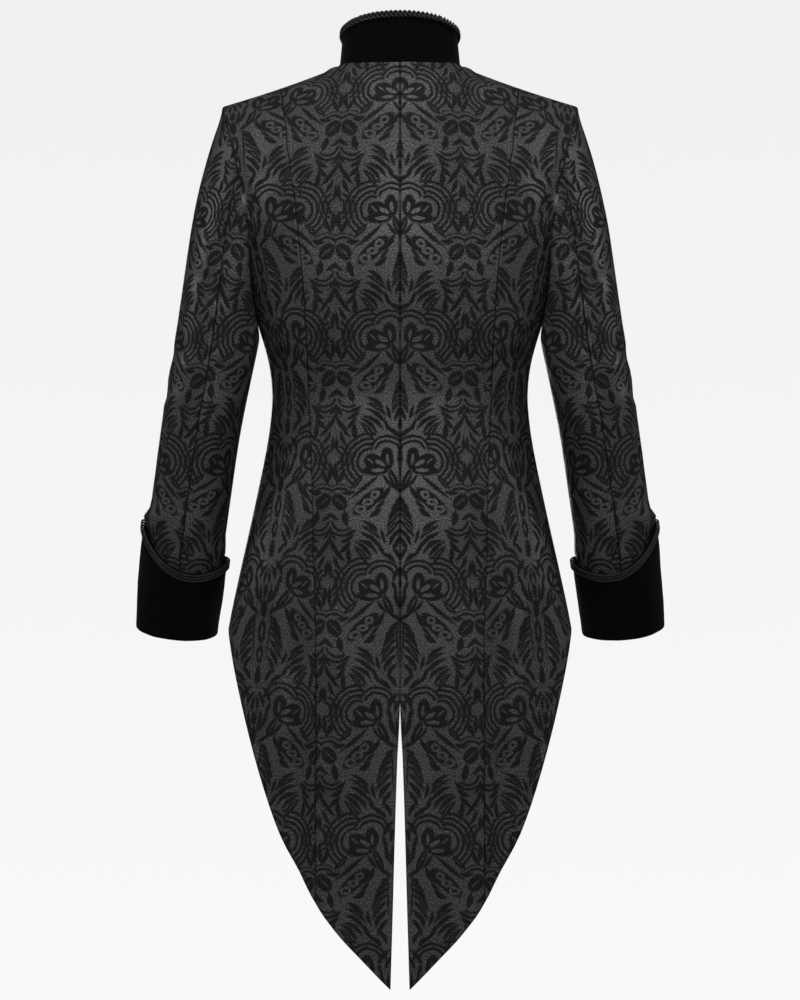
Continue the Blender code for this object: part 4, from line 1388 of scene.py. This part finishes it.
# %% [markdown]
# ## The studio
#
# The photograph is a plain cut-out on pale grey, lit softly from the camera's
# side: the middle of the back is lightest, and the sides fall off as they turn
# away. A small key light on the camera's side, a little above the collar, does
# that. A larger one overhead lifts the shoulders, and a narrow beam from each
# side edges the sleeves. The fill only serves views of the front. The camera sees
# the room paler than it lights the coat, so that black cloth stays black, and the
# floor glows a little so that it looks as pale as the room.

# %% Camera, floor and light
FRAME_HEIGHT = 1.2222  # metres of the coat's plane from the top of the frame to its bottom
CAMERA_DISTANCE = 4.0
CAMERA_HEIGHT = -0.529

camera_data = bpy.data.cameras.new("camera")
camera_data.sensor_fit = "VERTICAL"
camera_data.sensor_height = 36
camera_data.lens = 36 * CAMERA_DISTANCE / FRAME_HEIGHT
camera = bpy.data.objects.new("camera", camera_data)
camera.location = (0, CAMERA_DISTANCE, CAMERA_HEIGHT)
camera.rotation_euler = (math.pi / 2, 0, math.pi)
bpy.context.scene.collection.objects.link(camera)
bpy.context.scene.camera = camera


def area_light(name, place, target, size, power, spread=180):
    """A soft light that points at a target; a small spread, in degrees, keeps its beam narrow."""
    data = bpy.data.lights.new(name, "AREA")
    data.size = size
    data.energy = power
    data.spread = math.radians(spread)
    light = bpy.data.objects.new(name, data)
    light.location = place
    light.rotation_euler = (Vector(target) - Vector(place)).to_track_quat("-Z", "Y").to_euler()
    bpy.context.scene.collection.objects.link(light)


area_light("key", (0, 1.8, 0.36), (0, 0, -0.25), 0.35, 21.5)
area_light("top", (0, 0.8, 1.7), (0, 0, -0.2), 0.8, 26)
for name, side in (("left_edge", 1), ("right_edge", -1)):
    area_light(name, (2.4 * side, -0.2, 0.5), (0.27 * side, 0, -0.30), 0.4, 1.7, spread=60)
area_light("front_fill", (0.5, -4.5, -0.3), (0, 0, -0.4), 2.0, 45)

bpy.ops.mesh.primitive_circle_add(vertices=96, radius=1.9, fill_type="NGON", location=(0, 0, -1.45))
floor = bpy.context.active_object
floor.name = "floor"
floor_material, floor_tree, floor_shader = new_material(
    "floor",
    Roughness=0.9,
    Specular_IOR_Level=0.1,
    Emission_Color=(1.0, 1.0, 1.0, 1.0),
    Emission_Strength=0.3,
)
floor_grain = use_group(
    floor_tree, grain, Place=coordinates(floor_tree, from_map=False), Threads=30.0
)
floor_bright = Field(floor_tree, floor_grain.outputs["Speckle"]).times_plus(0.01, 0.86)
floor_tree.links.new(
    tint(floor_tree, floor_bright, (1.0, 1.0, 1.0)), floor_shader.inputs["Base Color"]
)
floor.data.materials.append(floor_material)


def make_room(seen, paler_below, lit):
    """A pale room as a light and as a backdrop that gets a little paler downwards."""
    world = bpy.data.worlds.new("room")
    world.use_nodes = True
    tree = world.node_tree
    background = tree.nodes["Background"]
    background.inputs["Color"].default_value = (1, 1, 1, 1)
    direction = tree.nodes.new("ShaderNodeSeparateXYZ")
    tree.links.new(tree.nodes.new("ShaderNodeTexCoord").outputs["Generated"], direction.inputs[0])
    backdrop = Field(tree, direction.outputs["Z"]).times_plus(-paler_below, seen)
    ray = Field(tree, tree.nodes.new("ShaderNodeLightPath").outputs["Is Camera Ray"])
    strength = (backdrop - lit) * ray + lit
    tree.links.new(strength.socket, background.inputs["Strength"])
    bpy.context.scene.world = world


make_room(seen=0.91, paler_below=0.25, lit=0.035)
bpy.context.scene.view_settings.view_transform = "Standard"
